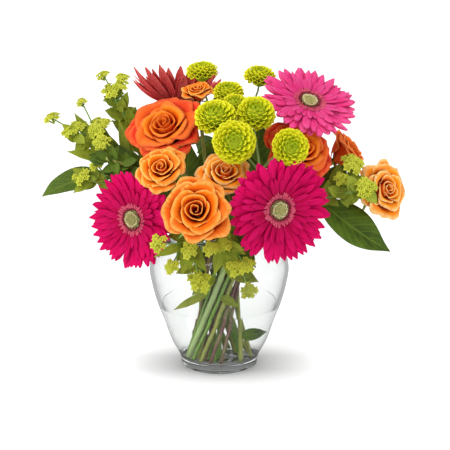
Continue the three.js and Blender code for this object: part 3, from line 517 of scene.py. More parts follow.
LARGE_ROSE = 35  # the radius above which a rose has the thick stalk
THICK_STALK, THIN_STALK = 2.6, 1.8  # radii


def rose_petal(rnd, radius, height, t, angle):
    """A rose's petal: t is 0 at the heart, where it wraps tight, and 1 outside, where its lip rolls out."""
    v, u = blade(16, 17)
    flare = ease((t - 0.1) / 0.5)
    point = 0.05 * t * np.exp(-(((u - rnd.uniform(-0.15, 0.15)) / 0.2) ** 2))
    share = v * (0.97 - 0.25 * np.abs(u) ** 2.8 + point)
    stand = radius * (0.05 + 0.59 * t**0.85) * rnd.uniform(0.96, 1.04)
    lip = radius * (0.03 + 0.38 * flare) * rnd.uniform(0.82, 1.06)
    low, top = height * (0.36 - 0.3 * t), height * (0.96 - 0.2 * t**1.6) * rnd.uniform(0.97, 1.015)
    belly = radius * (0.05 + 0.12 * t)
    drop = (0.04 + 0.13 * t**2) * flare * rnd.uniform(0.7, 1.3)
    r = bezier((belly, stand * 1.22, stand * 0.93, stand + lip), share)
    z = bezier((low, low + 0.5 * (top - low), top + 0.14 * height * flare, top - drop * height), share)
    phase, lean = rnd.uniform(0, 6), rnd.uniform(-0.05, 0.05)
    ripple = 0.042 * radius * (0.3 + 0.7 * flare) * v**4
    r = r * (1 + (0.14 - 0.06 * flare) * u) + ripple * np.sin(6 * u + phase)
    z = z + ripple * (np.cos(5 * u + phase) + 0.5 * np.sin(11 * u + 2 * phase))
    z = z + lean * height * u * v - 0.06 * height * flare * np.abs(u) ** 3 * v**2
    wrap = math.radians(122 - 82 * t**0.6) * (0.5 + 0.5 * ease(v * 1.7)) * rnd.uniform(0.92, 1.1)
    bearing = angle + u * wrap
    return grid_of(r * np.cos(bearing), r * np.sin(bearing), z)


def rose(flower):
    rnd = random.Random(flower["name"])
    radius = flower["radius"]
    height = ROSE_HEIGHT * radius
    placed = head(flower["face"], flower["facing"], height)
    bloom = Patches().place(*placed)
    count = flower["petals"]
    for i in range(count):
        t = (i + 0.3) / (count - 0.7)
        angle = i * GOLDEN_TURN + rnd.uniform(-0.15, 0.15)
        bloom.add(rose_petal(rnd, radius, height, t, angle), tone=rnd.random(), depth=t)
    name, look = flower["name"], flower["look"]
    bloom.piece(name + "_petals", [LOOKS[flower.get("petal", look)]], look, name + "_bloom", thickness=0.4)

    thick = THICK_STALK if radius > LARGE_ROSE else THIN_STALK
    stem = Patches()
    line = stem_line(flower["slot"], thick, behind(flower, height + GAP), unit(flower["facing"]))
    grow_stem(stem, flower["name"], line, thick, rnd.choice(["brown", "olive", "purple", "brown"]), joints=3)
    stem.place(*placed)
    hip = [(0.01, -0.2), (thick, -0.1), (0.16 * radius, 0.05 * height), (0.13 * radius, 0.14 * height),
           (0.01, 0.15 * height)]
    stem.add(turned(hip, 20), tone=STEM_TONES["green"], closed=True)
    s, a = blade(9, 5)
    for i in range(5):
        length = radius * rnd.uniform(0.6, 0.78)
        out = bezier((0.12 * radius, 0.4 * radius, 0.3 * radius + 0.3 * length, 0.14 * radius + length), s)
        hang, tip = rnd.uniform(-0.1, 0.1) * height, rnd.uniform(-0.2, 0.12) * height
        down = bezier((0.1 * height, 0.05 * height, hang, tip), s)
        half = radius * 0.1 * (1 - s) ** 0.7 * (0.7 + 0.6 * s)
        sepal = grid_of(out, half * a, down - 0.3 * half * a * a)
        stem.add(spun(sepal, 2 * math.pi * i / 5 + rnd.uniform(-0.2, 0.2)), tone=STEM_TONES["green"])
    stem.piece(flower["name"] + "_stalk", [LOOKS["stem"]], "rose_stem", flower["name"] + "_stem")


# ---------------------------------------------------------------- button mums


def mum_bloom(flower):
    """A dome of short quilled petals round a tight green middle."""
    rnd = random.Random(flower["name"])
    radius = flower["radius"]
    height = MUM_HEIGHT * radius
    bloom = Patches().place(*head(flower["face"], flower["facing"], height))
    middle = np.array([0, 0, 0.5 * height])
    wide, tall = 0.74 * radius, 0.38 * height
    core = [(0.01, 0), (0.16 * radius, 0), (0.45 * radius, 0.12 * height)]
    for angle in np.linspace(-60, 90, 9):
        angle = math.radians(angle)
        core.append((max(wide * math.cos(angle), 0.01), middle[2] + tall * math.sin(angle)))
    bloom.add(turned(core, 24), depth=0, closed=True)
    count = int(62 + 2 * radius)
    s, a = blade(6, 5)
    for i in range(count):
        t = (i + 0.5) / count
        polar = math.acos(1 - t * 1.42)
        outward = np.array([math.sin(polar), 0, math.cos(polar)])
        root = middle + (wide * outward[0], 0, tall * outward[2])
        up = unit((math.cos(polar) * -0.4 + 0.15, 0, math.sin(polar) + 0.2))
        open_share = math.sin(min(polar, 1.6))
        length = radius * (0.13 + 0.25 * open_share) * rnd.uniform(0.9, 1.1)
        tip = np.sqrt(1 - 0.85 * np.clip((s - 0.55) / 0.45, 0, 1) ** 2)
        half = radius * (0.06 + 0.1 * open_share) * (0.75 + 0.45 * ease(s * 1.4)) * tip
        curl = rnd.uniform(0.12, 0.3) * length
        lift = curl * s * s + 0.8 * half * a * a
        grid = root + (length * s)[..., None] * outward + lift[..., None] * up
        grid = grid + (half * a)[..., None] * np.array([0, 1, 0])
        bloom.add(spun(grid, i * GOLDEN_TURN), tone=rnd.random(), depth=min(1, t * 1.3))
    bloom.piece(flower["name"] + "_quills", [LOOKS["lime_mum"]], "lime_mum", flower["name"], thickness=0.3)


MUM_STALK = 2.2  # the radius of the stem below its fork
MUM_BRANCH = (1.25, 1.0)  # radii at the fork and at the bloom


def mum_stem(stem):
    for flower in stem["blooms"]:
        mum_bloom(flower)
    fork = np.array(stem["fork"], float)
    rising = unit((fork[0] / 300, fork[1] / 300, 1))
    stalks = Patches()
    line = stem_line(stem["slot"], MUM_STALK, fork, rising)
    grow_stem(stalks, stem["name"], line, MUM_STALK, "green", joints=2)
    start = fork - MUM_STALK * rising
    for flower in stem["blooms"]:
        facing = unit(flower["facing"])
        end = behind(flower, MUM_HEIGHT * flower["radius"] + GAP)
        span = np.linalg.norm(end - start)
        bend = (start, start + 0.35 * span * rising, end - flower.get("reach", 0.35) * span * facing, end)
        line = np.array([bezier(bend, share) for share in np.linspace(0, 1, 15)])
        stalks.add(tube(line, np.linspace(*MUM_BRANCH, 15), 8), tone=0.2, closed=True)
    stalks.piece(stem["name"] + "_stalks", [LOOKS["stem"]], "green_stem", stem["name"])


# ---------------------------------------------------------------- leaves and sprays

TWIG = (0.85, 0.6)  # radii at its root and at its tip


def leaf(rnd, start, to, width, normal=OUTWARD, bow=(0, 0, 0)):
    """A blade along a curve, folded along its midrib, drawn to a point, with a wavy edge."""
    start, tip = np.asarray(start, float), np.asarray(to, float)
    middle = (start + tip) / 2 + np.asarray(bow, float)
    s, a = blade(19, 11)
    rib = arc(start, middle, tip, s)
    along = np.gradient(rib, axis=0)
    along /= np.linalg.norm(along, axis=1)[:, None]
    side = np.cross(along, normal)
    side /= np.linalg.norm(side, axis=1)[:, None]
    up = np.cross(side, along)
    swell = np.sin(math.pi * s**0.8) ** 0.85 * (1 - 0.25 * ease((s - 0.75) / 0.25))
    half = np.maximum(width / 2 * swell, 0.35)
    phase = rnd.uniform(0, 6)
    lift = half * (0.18 * np.abs(a) ** 1.5 + 0.05 * a * np.sin(9 * s + phase) * np.abs(a))
    lift -= 0.035 * half * np.exp(-((a / 0.12) ** 2))
    veins = np.sin(2 * math.pi * (6 * s - 1.8 * np.abs(a)))
    lift += 0.012 * width * veins * np.abs(a) * (1 - np.abs(a))
    return rib[:, None, :] + (half * a)[..., None] * side[:, None, :] + lift[..., None] * up[:, None, :]


def umbel(patches, rnd, at, facing, radius, look=2):
    """A floret cluster: rays from one point, each with a cup of round bracts about tiny florets."""
    turn, base = head(at, facing, 0.75 * radius)
    patches.place(turn, base)
    count = int(5 + 0.6 * radius)
    s, a = blade(6, 5)
    for i in range(count):
        r = 0.84 * radius * math.sqrt((i + 0.3) / count)
        angle = i * GOLDEN_TURN + rnd.uniform(-0.2, 0.2)
        z = radius * (0.75 + 0.25 * (1 - (r / radius) ** 2)) + rnd.uniform(-1, 1)
        top = np.array([r * math.cos(angle), r * math.sin(angle), z])
        line = np.array([top * share**0.9 for share in np.linspace(0, 1, 5)])
        patches.add(tube(line, 0.35, 5), tone=0.3, look=look, closed=True)
        tilt = head(top, unit((top[0], top[1], 1.4 * radius)), 0)
        patches.place(turn @ tilt[0], turn @ tilt[1] + base)
        bract = (1.2 + 0.33 * radius) * rnd.uniform(0.85, 1.15)
        shade = rnd.uniform(0.15, 0.7)
        half = 0.37 * bract * np.sin(math.pi * (0.1 + 0.9 * s) ** 0.85) + 0.02
        grid = grid_of(bract * s, half * a, bract * (0.55 * s - 0.3 * s * s) + 0.3 * half * a * a)
        for j in range(5):
            turned_bract = spun(grid, 2 * math.pi * (j + rnd.uniform(-0.1, 0.1)) / 5)
            patches.add(turned_bract, tone=shade * rnd.uniform(0.5, 1.3), look=look)
        for j in range(7):
            reach = 0.2 * bract * math.sqrt(j)
            spot = golden_place(j, reach, 0.2)
            patches.add(bud(spot, 0.15 * bract, 0.36 * bract, sides=5), tone=rnd.uniform(0.9, 1), look=look)
        patches.place(turn, base)


def leaflets(patches, rnd, bend, count, first, length):
    """Small leaves on a stem from share first to its end, all round it."""
    for i in range(count):
        root = bezier(bend, first + (1 - first) * (i + rnd.random()) / count)
        angle = i * GOLDEN_TURN
        heading = unit((math.cos(angle), 0.45 * math.sin(2 * angle) - 0.2, 0.8 * math.sin(angle) + 0.15))
        reach = length * rnd.uniform(0.8, 1.25)
        grid = leaf(rnd, root, root + reach * heading, reach * rnd.uniform(0.55, 0.7))
        patches.add(grid, tone=rnd.random(), depth=0, look=1)


def spray(plan):
    """A bent stem with twigs, leaves, small filling leaves and floret clusters, as one piece."""
    name, slot = plan["name"], plan["slot"]
    lime = name.startswith("bupleurum")
    look, stem_tone, radius = ("lime_leaf", "green", 1.5) if lime else ("dark_leaf", "olive", 1.8)
    rnd = random.Random(name)
    end, arriving = plan["end"], unit(plan["arriving"])
    bend = stem_bend(slot, end, arriving)
    made = Patches()
    grow_stem(made, name, stem_line(slot, radius, end, arriving), radius, stem_tone, joints=2)
    for share, to, *rise in plan.get("twigs", []):
        start, to = bezier(bend, share), np.array(to, float)
        middle = (start + to) / 2 + (0, 0, *(rise or [4]))
        s = np.linspace(0, 1, 9)[:, None]
        twig = tube(arc(start, middle, to, s), np.linspace(*TWIG, 9), 6)
        made.add(twig, tone=STEM_TONES["green"], closed=True)
    for where, *blade_row in plan["leaves"]:
        in_vase = where > 1
        root = spiral_point(slot, where) if in_vase else bezier(bend, where)
        made.add(leaf(rnd, root, *blade_row), tone=rnd.random(), depth=float(in_vase), look=1)
    leaflets(made, rnd, bend, *plan["filling"])
    for cluster in plan.get("umbels", []):
        umbel(made, rnd, *cluster)
    looks = [LOOKS["stem"], LOOKS[look], LOOKS["bupleurum_floret"]]
    made.piece(name + "_spray", looks, look, name, thickness=0.3)


# ---------------------------------------------------------------- vase and water

WALL, NECK, LIP, TOP = 3.5, 49, 55, 147  # wall thickness, radii of the neck and the lip, and height
WATER_LEVEL = 67
SUNK = 0.1  # the water's side lies this far inside the glass, so that no air shows between them
SEGMENTS = 128


def smooth_through(points, count):
    """Points on a Catmull-Rom curve through the given ones: count of them to each span."""
    points = np.array(points, float)
    last = len(points) - 1
    made = []
    for i in range(last):
        a, b, c, d = (points[min(max(i + k, 0), last)] for k in (-1, 0, 1, 2))
        for share in np.linspace(0, 1, count, endpoint=False):
            v0, v1 = (c - a) / 2, (d - b) / 2
            cubic, square = 2 * b - 2 * c + v0 + v1, 3 * c - 3 * b - 2 * v0 - v1
            made.append(cubic * share**3 + square * share**2 + v0 * share + b)
    return np.array([*made, points[-1]])


VASE_OUTSIDE = smooth_through(
    [(38.3, 0), (40.5, 12.5), (49, 29), (56.4, 50.5), (62.7, 67.6), (67.6, 86), (70, 104), (65, 119),
     (NECK, 132)], 10)


def outside_radius(z):
    return np.interp(z, VASE_OUTSIDE[:, 1], VASE_OUTSIDE[:, 0])


def inside_radius(z):
    """The radius of the hollow, where the wall is as thick as it is measured square to its slope."""
    slope = outside_radius(z + 0.5) - outside_radius(z - 0.5)
    return outside_radius(z) - WALL * math.hypot(1, slope)


def vase():
    base = smooth_through([(0.001, 1.8), (20, 1.4), (31, 0.3), (34.5, 0)], 5)
    edge = smooth_through([(34.5, 0), (37, 0.4), (38.3, 2)], 4)
    body = VASE_OUTSIDE[VASE_OUTSIDE[:, 1] > 2.6]
    rim = smooth_through(
        [(NECK, 132), (NECK + 0.8, 137), (NECK + 3.4, 142), (LIP, 145.2), (LIP + 0.1, 146.3), (LIP - 1, TOP),
         (LIP - 2.6, TOP - 0.2), (NECK + 0.4, 141.6), (NECK - 2.9, 137.5), (NECK - 3.6, 132)], 6)
    inside = [(inside_radius(z), z) for z in np.linspace(128, 18, 40)]
    floor = smooth_through(
        [(inside_radius(18), 18), (inside_radius(13) - 1, 13), (inside_radius(11) - 5, 10.4), (22, 9.3),
         (0.001, 9)], 6)
    profile = np.concatenate([base, edge[1:], body, rim[1:], inside, floor[1:]])
    glass = Patches()
    glass.add(turned(profile, SEGMENTS), depth=0, closed=True)
    glass.piece("vase_glass", [LOOKS["glass"]], "clear_glass", "vase")


def water():
    """The water, with a low rim where it climbs the glass; depth marks its top face."""
    side = [(inside_radius(z) + SUNK, z) for z in np.linspace(18, WATER_LEVEL - 1.5, 24)]
    edge = inside_radius(WATER_LEVEL) + SUNK
    bottom = smooth_through(
        [(0.001, 8.9), (22, 9.2), (inside_radius(11) - 4.9, 10.3), (inside_radius(13) - 0.9, 12.9),
         side[0]], 6)
    meniscus = [(edge, WATER_LEVEL + 0.9), (edge - 0.7, WATER_LEVEL + 0.35), (edge - 2, WATER_LEVEL + 0.1),
                (edge - 4, WATER_LEVEL), (0.001, WATER_LEVEL)]
    profile = np.concatenate([bottom[:-1], side, meniscus])
    surface = (profile[:, 1:] > WATER_LEVEL - 0.1).astype(float)
    made = Patches()
    made.add(turned(profile, SEGMENTS), depth=surface, closed=True)
    made.piece("vase_water", [LOOKS["water"]], "water", "water")


# ---------------------------------------------------------------- materials


class Nodes:
    """Short ways to add nodes to a tree."""

    def __init__(self, tree):
        self.tree = tree

    def node(self, kind, **settings):
        made = self.tree.nodes.new(kind)
        for key, value in settings.items():
            setattr(made, key, value)
        return made

    def plug(self, socket, value):
        """Sets an input to a number or a colour, or links another node's output to it."""
        if isinstance(value, bpy.types.NodeSocket):
            self.tree.links.new(value, socket)
        else:
            socket.default_value = (*value, 1) if isinstance(value, tuple) else value

    def fill(self, made, **values):
        """Sets a node's inputs by their names."""
        for name, value in values.items():
            self.plug(made.inputs[name.replace("_", " ")], value)
        return made

    def fed(self, made, *values, out=0):
        """The output of a node whose first inputs take these values."""
        for socket, value in zip(made.inputs, values):
            self.plug(socket, value)
        return made.outputs[out]

    def math(self, operation, a, b=0.0, clamp=False):
        return self.fed(self.node("ShaderNodeMath", operation=operation, use_clamp=clamp), a, b)

    def span(self, value, low, high, to_low=0.0, to_high=1.0):
        return self.fed(self.node("ShaderNodeMapRange"), value, low, high, to_low, to_high)

    def light_path(self, output):
        return self.node("ShaderNodeLightPath").outputs[output]


class Look(Nodes):
    """A material and the nodes that paint it."""

    def __init__(self, name):
        self.material = bpy.data.materials.new(name)
        self.material.use_nodes = True
        super().__init__(self.material.node_tree)
        self.shader = self.tree.nodes["Principled BSDF"]

    def value(self, name):
        return self.node("ShaderNodeAttribute", attribute_name=name).outputs["Fac"]

    def place(self):
        return self.node("ShaderNodeTexCoord").outputs["Object"]

    def part(self, axis):
        """One coordinate of the place: 0 for x, 1 for y, 2 for z."""
        return self.fed(self.node("ShaderNodeSeparateXYZ"), self.place(), out=axis)

    def noise(self, vector, scale, detail=3.0):
        made = self.node("ShaderNodeTexNoise")
        return self.fill(made, Vector=vector, Scale=scale, Detail=detail, Roughness=0.55).outputs["Fac"]

    def ramp(self, factor, places, colours):
        made = self.node("ShaderNodeValToRGB")
        elements = made.color_ramp.elements
        while len(elements) < len(places):
            elements.new(0.5)
        for element, position, colour in zip(elements, places, colours):
            element.position = position
            element.color = (*colour, 1)
        return self.fed(made, factor)

    def mix(self, factor, a, b):
        made = self.node("ShaderNodeMix", data_type="RGBA")
        for socket, value in ((0, factor), (6, a), (7, b)):
            self.plug(made.inputs[socket], value)
        return made.outputs[2]

    def layered(self, colour, *layers):
        """A colour under others; a layer is a value, two points of it, its share at each, and its colour."""
        for value, low, high, least, most, over in layers:
            colour = self.mix(self.span(value, low, high, least, most), colour, over)
        return colour

    def bump(self, height, strength, distance):
        made = self.fill(self.node("ShaderNodeBump"), Strength=strength, Distance=distance, Height=height)
        self.fill(self.shader, Normal=made.outputs[0])

    def finish(self, colour, **settings):
        self.fill(self.shader, Base_Color=colour, **settings)
        return self.material


SOFT = {"Subsurface_Weight": 0.1, "Subsurface_Scale": 0.0012, "Specular_IOR_Level": 0.05}
LEAF_SKIN = {"Subsurface_Weight": 0.08, "Subsurface_Scale": 0.001}
# The shares of a petal's length at which its colours stand, for a ray and a rose's outer and inner petals.
RAY, OUTER, INNER = (0, 0.3, 0.75, 1), (0.3, 0.6, 0.82, 1), (0.3, 0.6, 0.8, 1)


def streaks(look, fine, length):
    """Noise drawn out along a petal, different on each one."""
    across = look.math("MULTIPLY", look.value("across"), fine)
    along = look.math("MULTIPLY", look.value("along"), length)
    apart = look.math("MULTIPLY", look.value("tone"), 40)
    return look.noise(look.fed(look.node("ShaderNodeCombineXYZ"), across, along, apart), 1.0)


def petal_look(name, colours, deep, pale):
    """Ray petals: a run of colour from root to tip, painted shade on the inner whorls near the heart, with
    fine long streaks.
    """
    look = Look(name)
    lines = streaks(look, 7, 1.2)
    colour = look.layered(
        look.ramp(look.value("along"), RAY, colours),
        # Inner whorls, of lower depth, take the deep colour: painted shade.
        (look.value("depth"), 0.2, 0.9, 0.45, 0.0, deep),
        (lines, 0.52, 0.72, 0.0, 0.45, pale),
        (lines, 0.48, 0.3, 0.0, 0.55, deep),
        (look.value("tone"), 0, 1, 0.0, 0.22, pale))
    look.bump(lines, 0.35, 0.0006)
    return look.finish(colour, Roughness=look.span(lines, 0, 1, 0.5, 0.7), **SOFT)


def rose_look(name, outer, inner, rim):
    """Rose petals: a root deep partly with painted shade, a rim pale partly with painted highlight, other
    colours at the heart.
    """
    look = Look(name)
    along, veins = look.value("along"), streaks(look, 9, 2.5)
    heart = look.span(look.value("depth"), 0.35, 0.75)
    colour = look.mix(heart, look.ramp(along, INNER, inner), look.ramp(along, OUTER, outer))
    edge = look.math("ABSOLUTE", look.value("across"))
    # The rim is pale partly by the petal's own colour and partly by a painted highlight on its rolled lip.
    rim_and_highlight = look.math("MAXIMUM", look.span(along, 0.87, 0.98), look.span(edge, 0.91, 1.0, 0, 0.8))
    rim_and_highlight = look.math("MULTIPLY", rim_and_highlight, look.span(veins, 0.3, 0.6, 0.45, 1.0))
    colour = look.layered(
        look.mix(rim_and_highlight, colour, rim),
        (veins, 0.5, 0.3, 0.0, 0.3, outer[0]),
        (look.noise(look.place(), 60.0, 2.0), 0.45, 0.7, 0.0, 0.15, rim))
    look.bump(veins, 0.25, 0.0006)
    return look.finish(colour, Roughness=look.span(veins, 0, 1, 0.45, 0.65), **SOFT)


def mum_look():
    """Button mum petals: lime, greener at the middle of the bloom."""
    look = Look("mum_quill")
    lines = streaks(look, 4, 1.5)
    lime = [(0.26, 0.32, 0.004), (0.6, 0.62, 0.006), (0.76, 0.74, 0.012), (0.84, 0.82, 0.04)]
    colour = look.layered(
        look.ramp(look.value("along"), (0, 0.4, 0.75, 1), lime),
        (look.value("depth"), 0.22, 0.0, 0, 0.7, (0.2, 0.34, 0.006)),
        (lines, 0.5, 0.7, 0, 0.3, (0.82, 0.82, 0.12)))
    look.bump(lines, 0.3, 0.0004)
    return look.finish(colour, Roughness=look.span(lines, 0, 1, 0.5, 0.75), **SOFT)


def speckled(name, dark, light, pale_tip=0.5):
    """Small florets: two colours by floret and by height, with a grain."""
    look = Look(name)
    grain = look.noise(look.place(), 1400.0, 2.0)
    height = look.math("MULTIPLY", look.value("along"), pale_tip)
    factor = look.math("ADD", height, look.math("MULTIPLY", look.value("tone"), 0.4))
    factor = look.math("ADD", factor, look.span(grain, 0.3, 0.7, -0.15, 0.25), clamp=True)
    look.bump(grain, 0.3, 0.0003)
    rough = look.span(grain, 0.3, 0.7, 0.5, 0.7)
    return look.finish(look.mix(factor, dark, light), Roughness=rough, Specular_IOR_Level=0.3)


def stem_look():
    """Stems: a run of colours from sage to purple, of which each stem's tone picks one."""
    look = Look("stem_skin")
    fibres = streaks(look, 14, 3)
    run = [(0.42, 0.55, 0.22), (0.17, 0.34, 0.04), (0.3, 0.32, 0.05), (0.2, 0.11, 0.045),
           (0.15, 0.055, 0.05)]
    colour = look.layered(
        look.ramp(look.value("tone"), (0.0, 0.3, 0.5, 0.75, 1.0), run),
        (look.noise(look.place(), 55.0), 0.42, 0.7, 0, 0.4, (0.3, 0.36, 0.13)),
        (fibres, 0.5, 0.28, 0, 0.5, (0.07, 0.09, 0.025)))
    look.bump(fibres, 0.4, 0.0006)
    return look.finish(colour, Roughness=look.span(fibres, 0, 1, 0.3, 0.6), Specular_IOR_Level=0.45)


def leaf_look(name, green, vein, shade, gloss):
    """A leaf: a pale midrib and side veins, and darker cells between them."""
    look = Look(name)
    along, across = look.value("along"), look.math("ABSOLUTE", look.value("across"))
    rib = look.span(across, 0.015, 0.09, 1, 0)
    wave = look.math("SUBTRACT", look.math("MULTIPLY", along, 8), look.math("MULTIPLY", across, 2.2))
    side = look.math("ABSOLUTE", look.math("SUBTRACT", look.math("FRACT", wave), 0.5))
    veins = look.math("MAXIMUM", rib, look.span(side, 0.03, 0.12, 0.6, 0))
    cells = look.noise(look.place(), 420.0, 4.0)
    colour = look.layered(
        green,
        (look.noise(look.place(), 45.0, 2.0), 0.35, 0.65, 0, 1, shade),
        (cells, 0.4, 0.65, 0, 0.3, shade),
        (veins, 0, 1, 0, 0.55, vein),
        (look.value("tone"), 0, 1, 0, 0.25, vein))
    look.bump(look.math("SUBTRACT", cells, look.math("MULTIPLY", veins, 1.2)), 0.35, 0.0007)
    rough = look.span(cells, 0.3, 0.7, gloss, gloss + 0.2)
    return look.finish(colour, Roughness=rough, Specular_IOR_Level=0.2, **LEAF_SKIN)


CLEAR_FOOT = (0.012, 0.03)  # heights between which the foot's own colour gives way to the glass's
OPEN_FACE = 0.9  # the share of the view that passes straight through where depth is 1


def clear_look(name, ior, tint, absorbed, density, foot=None):
    """Glass or water: lamps shine through it, and so does the view where depth is 1, as at the water's top.

    The foot, where it has a colour of its own, is clearer: light runs a long way through it.
    """
    look = Look(name)
    look.finish(tint, Roughness=0.0, IOR=ior, Transmission_Weight=1.0, Specular_Tint=(0.5, 0.5, 0.5))
    if foot:
        look.finish(look.mix(look.span(look.part(2), *CLEAR_FOOT), foot, tint))
    open_face = look.math("MULTIPLY", look.value("depth"), OPEN_FACE)
    passing = look.math("MAXIMUM", look.light_path("Is Shadow Ray"), open_face)
    through = look.fill(look.node("ShaderNodeBsdfTransparent"), Color=tint).outputs[0]
    mixed = look.fed(look.node("ShaderNodeMixShader"), passing, look.shader.outputs[0], through)
    inner = look.fill(look.node("ShaderNodeVolumeAbsorption"), Color=absorbed, Density=density)
    look.fill(look.tree.nodes["Material Output"], Surface=mixed, Volume=inner.outputs[0])
    return look.material


RAY_COLOURS = [  # from root to tip, then the deep one, of the streaks and of the painted shade on the inner whorls, and the pale one of the streaks
    ("pink", [(0.18, 0.0, 0.014), (0.38, 0.0, 0.036), (0.62, 0.0, 0.088), (0.7, 0.002, 0.115)],
     (0.2, 0.0, 0.02), (0.78, 0.014, 0.18)),
    ("light_pink", [(0.36, 0.003, 0.07), (0.62, 0.012, 0.13), (0.77, 0.035, 0.2), (0.84, 0.09, 0.28)],
     (0.42, 0.006, 0.1), (0.9, 0.18, 0.42)),
    ("red", [(0.34, 0.012, 0.014), (0.54, 0.025, 0.03), (0.7, 0.06, 0.065), (0.76, 0.13, 0.12)],
     (0.3, 0.008, 0.012), (0.8, 0.2, 0.17)),
]
ROSE_COLOURS = [  # of the outer petals from root to tip, of the inner ones, then of the rim; deep roots are partly painted shade of the crevices, pale rims partly painted highlight
    ("orange_rose", [(0.6, 0.035, 0.002), (0.7, 0.08, 0.002), (0.77, 0.145, 0.003), (0.83, 0.22, 0.008)],
     [(0.58, 0.03, 0.001), (0.76, 0.1, 0.002), (0.87, 0.19, 0.003), (0.93, 0.3, 0.01)], (0.95, 0.5, 0.13)),
    # A darker copy of the orange rose: painted shade.
    ("front_rose", [(0.5, 0.02, 0.001), (0.6, 0.042, 0.001), (0.7, 0.095, 0.002), (0.76, 0.16, 0.004)],
     [(0.5, 0.02, 0.001), (0.66, 0.06, 0.001), (0.8, 0.15, 0.002), (0.88, 0.26, 0.006)], (0.92, 0.4, 0.09)),
    # A lighter copy of the orange rose: painted light.
    ("pale_rose", [(0.72, 0.06, 0.003), (0.84, 0.13, 0.004), (0.9, 0.24, 0.008), (0.94, 0.36, 0.03)],
     [(0.68, 0.05, 0.002), (0.86, 0.15, 0.004), (0.93, 0.28, 0.008), (0.96, 0.42, 0.04)], (0.97, 0.62, 0.26)),
    ("red_rose", [(0.56, 0.014, 0.008), (0.6, 0.016, 0.01), (0.66, 0.02, 0.011), (0.72, 0.034, 0.015)],
     [(0.62, 0.04, 0.003), (0.78, 0.11, 0.004), (0.88, 0.22, 0.008), (0.93, 0.36, 0.03)], (0.86, 0.15, 0.04)),
    # A lighter copy of the red rose: painted light.
    ("back_rose", [(0.8, 0.07, 0.01), (0.88, 0.1, 0.015), (0.92, 0.13, 0.02), (0.95, 0.2, 0.03)],
     [(0.75, 0.06, 0.006), (0.84, 0.12, 0.008), (0.9, 0.2, 0.01), (0.94, 0.3, 0.03)], (0.95, 0.3, 0.08)),
]
FLORET_COLOURS = [  # dark, light, and how much a floret pales to its tip
    ("gerbera_cup", (0.09, 0.17, 0.04), (0.28, 0.4, 0.12)),
    ("disc_bud", (0.26, 0.26, 0.05), (0.66, 0.6, 0.26)),
    ("disc_pollen", (0.7, 0.5, 0.26), (0.9, 0.8, 0.5)),
    ("disc_dark", (0.1, 0.004, 0.014), (0.4, 0.03, 0.07)),
    ("disc_rose", (0.38, 0.008, 0.05), (0.66, 0.1, 0.17)),
    ("bupleurum_floret", (0.24, 0.34, 0.02), (0.82, 0.78, 0.06), 0.35),
]
LOOKS = {name + "_petal": petal_look(name + "_ray", *colours) for name, *colours in RAY_COLOURS}
LOOKS |= {name: rose_look(name + "_petal", *colours) for name, *colours in ROSE_COLOURS}
LOOKS |= {name: speckled(name, *colours) for name, *colours in FLORET_COLOURS}
LOOKS["lime_mum"] = mum_look()
LOOKS["stem"] = stem_look()
LOOKS["dark_leaf"] = leaf_look(
    "salal_leaf", (0.085, 0.16, 0.008), (0.2, 0.28, 0.03), (0.03, 0.07, 0.004), 0.5)
LOOKS["lime_leaf"] = leaf_look(
    "bupleurum_leaf", (0.27, 0.34, 0.018), (0.48, 0.5, 0.06), (0.13, 0.19, 0.01), 0.55)
LOOKS["glass"] = clear_look(
    "clear_glass", 1.5, (0.925, 0.93, 0.93), (0.5, 0.54, 0.53), 10.0, (0.99, 0.995, 0.99))
LOOKS["water"] = clear_look("water", 1.07, (0.99, 1.0, 0.99), (0.5, 0.66, 0.5), 0.6)

# ---------------------------------------------------------------- build

for flower in GERBERAS:
    gerbera(flower)
for flower in ROSES:
    rose(flower)
for stem in MUM_STEMS:
    mum_stem(stem)
for plan in SPRAYS:
    spray(plan)
vase()
water()

# ---------------------------------------------------------------- studio

FLOOR_HALF = 12
SHADOW_REACH, SHADOW_POWER = 0.07, 1.9  # how far from the vase the floor's painted shadow reaches, and how sharply it fades
SHADOW_BAND = (0.02, 0.075, 0.95, 0.15)  # the painted shadow's strength falls from 0.95 to 0.15 between these |y|
# What glass mirrors or reflects inside is dimmer than what is seen straight: this draws its outline on white.
FLOOR_GLOW, FLOOR_GLOW_MIRRORED = 0.95, 0.3
SKY_MIRRORED, SKY_DIFFUSE = 0.3, 0.5
BOUQUET_HEART = (0, 0, 0.2)


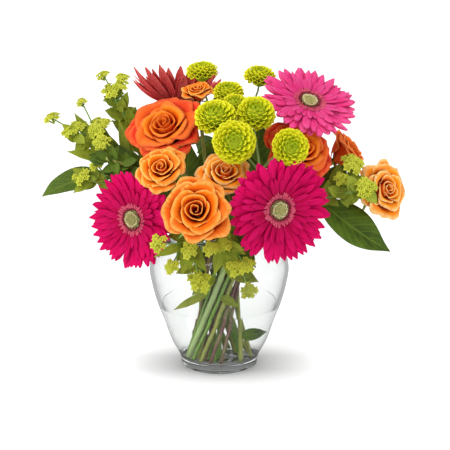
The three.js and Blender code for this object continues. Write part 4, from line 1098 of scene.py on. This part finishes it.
def lay_floor():
    corners = [(-FLOOR_HALF, -FLOOR_HALF, 0), (FLOOR_HALF, -FLOOR_HALF, 0),
               (FLOOR_HALF, FLOOR_HALF, 0), (-FLOOR_HALF, FLOOR_HALF, 0)]
    mesh = bpy.data.meshes.new("floor")
    mesh.from_pydata(corners, [], [(0, 1, 2, 3)])
    link(bpy.data.objects.new("floor", mesh))
    paper = Look("white_floor")
    # The floor's glow is dimmed where ambient occlusion finds the vase near, most within a band along Y: a
    # painted contact shadow.
    near = paper.fill(paper.node("ShaderNodeAmbientOcclusion", samples=8), Distance=SHADOW_REACH)
    band = paper.span(paper.math("ABSOLUTE", paper.part(1)), *SHADOW_BAND)
    shadow = paper.math("SUBTRACT", 1.0, paper.math("POWER", near.outputs["AO"], SHADOW_POWER))
    lit = paper.math("SUBTRACT", 1.0, paper.math("MULTIPLY", shadow, band))
    glow = paper.span(paper.light_path("Glossy Depth"), 0, 1, FLOOR_GLOW, FLOOR_GLOW_MIRRORED)
    paper.fill(paper.shader, Emission_Color=(1, 1, 1), Emission_Strength=paper.math("MULTIPLY", lit, glow))
    mesh.materials.append(paper.finish((0.3, 0.3, 0.3), Roughness=0.9, Specular_IOR_Level=0.0))


def aim(made, direction):
    """Turns a lamp or a camera to look along direction."""
    made.rotation_mode = "QUATERNION"
    made.rotation_quaternion = Vector(direction).to_track_quat("-Z", "Y")


def soft_lamp(name, place, size, power):
    data = bpy.data.lights.new(name, "AREA")
    data.shape = "RECTANGLE"
    data.size, data.size_y = size
    data.energy = power
    made = link(bpy.data.objects.new(name, data))
    made.location = place
    aim(made, Vector(BOUQUET_HEART) - Vector(place))


lay_floor()
sun_data = bpy.data.lights.new("key", "SUN")
sun_data.energy = 1.7
sun_data.angle = math.radians(40)
aim(link(bpy.data.objects.new("key", sun_data)), (0.3, 0.08, -1.0))
soft_lamp("left_window", (-1.0, -1.2, 0.9), (0.6, 1.2), 12)
soft_lamp("right_window", (1.3, -0.5, 0.7), (0.3, 1.2), 5)

world = bpy.data.worlds.new("studio")
world.use_nodes = True
sky = Nodes(world.node_tree)
diffuse = sky.span(sky.light_path("Is Diffuse Ray"), 0, 1, 1.0, SKY_DIFFUSE)
mirrored = sky.span(sky.light_path("Glossy Depth"), 0, 1, 1.0, SKY_MIRRORED)
sky.fill(sky.tree.nodes["Background"], Color=(1, 1, 1), Strength=sky.math("MULTIPLY", diffuse, mirrored))
bpy.context.scene.world = world

CAMERA_PLACE, CAMERA_TARGET = (0.0058, -1.3523, 0.5085), (0.0058, 0, 0.1462)
camera_data = bpy.data.cameras.new("camera")
camera_data.sensor_width = 36
camera_data.lens = 112
camera = link(bpy.data.objects.new("camera", camera_data))
camera.location = CAMERA_PLACE
aim(camera, Vector(CAMERA_TARGET) - Vector(CAMERA_PLACE))
bpy.context.scene.camera = camera
bpy.context.scene.view_settings.view_transform = "Standard"
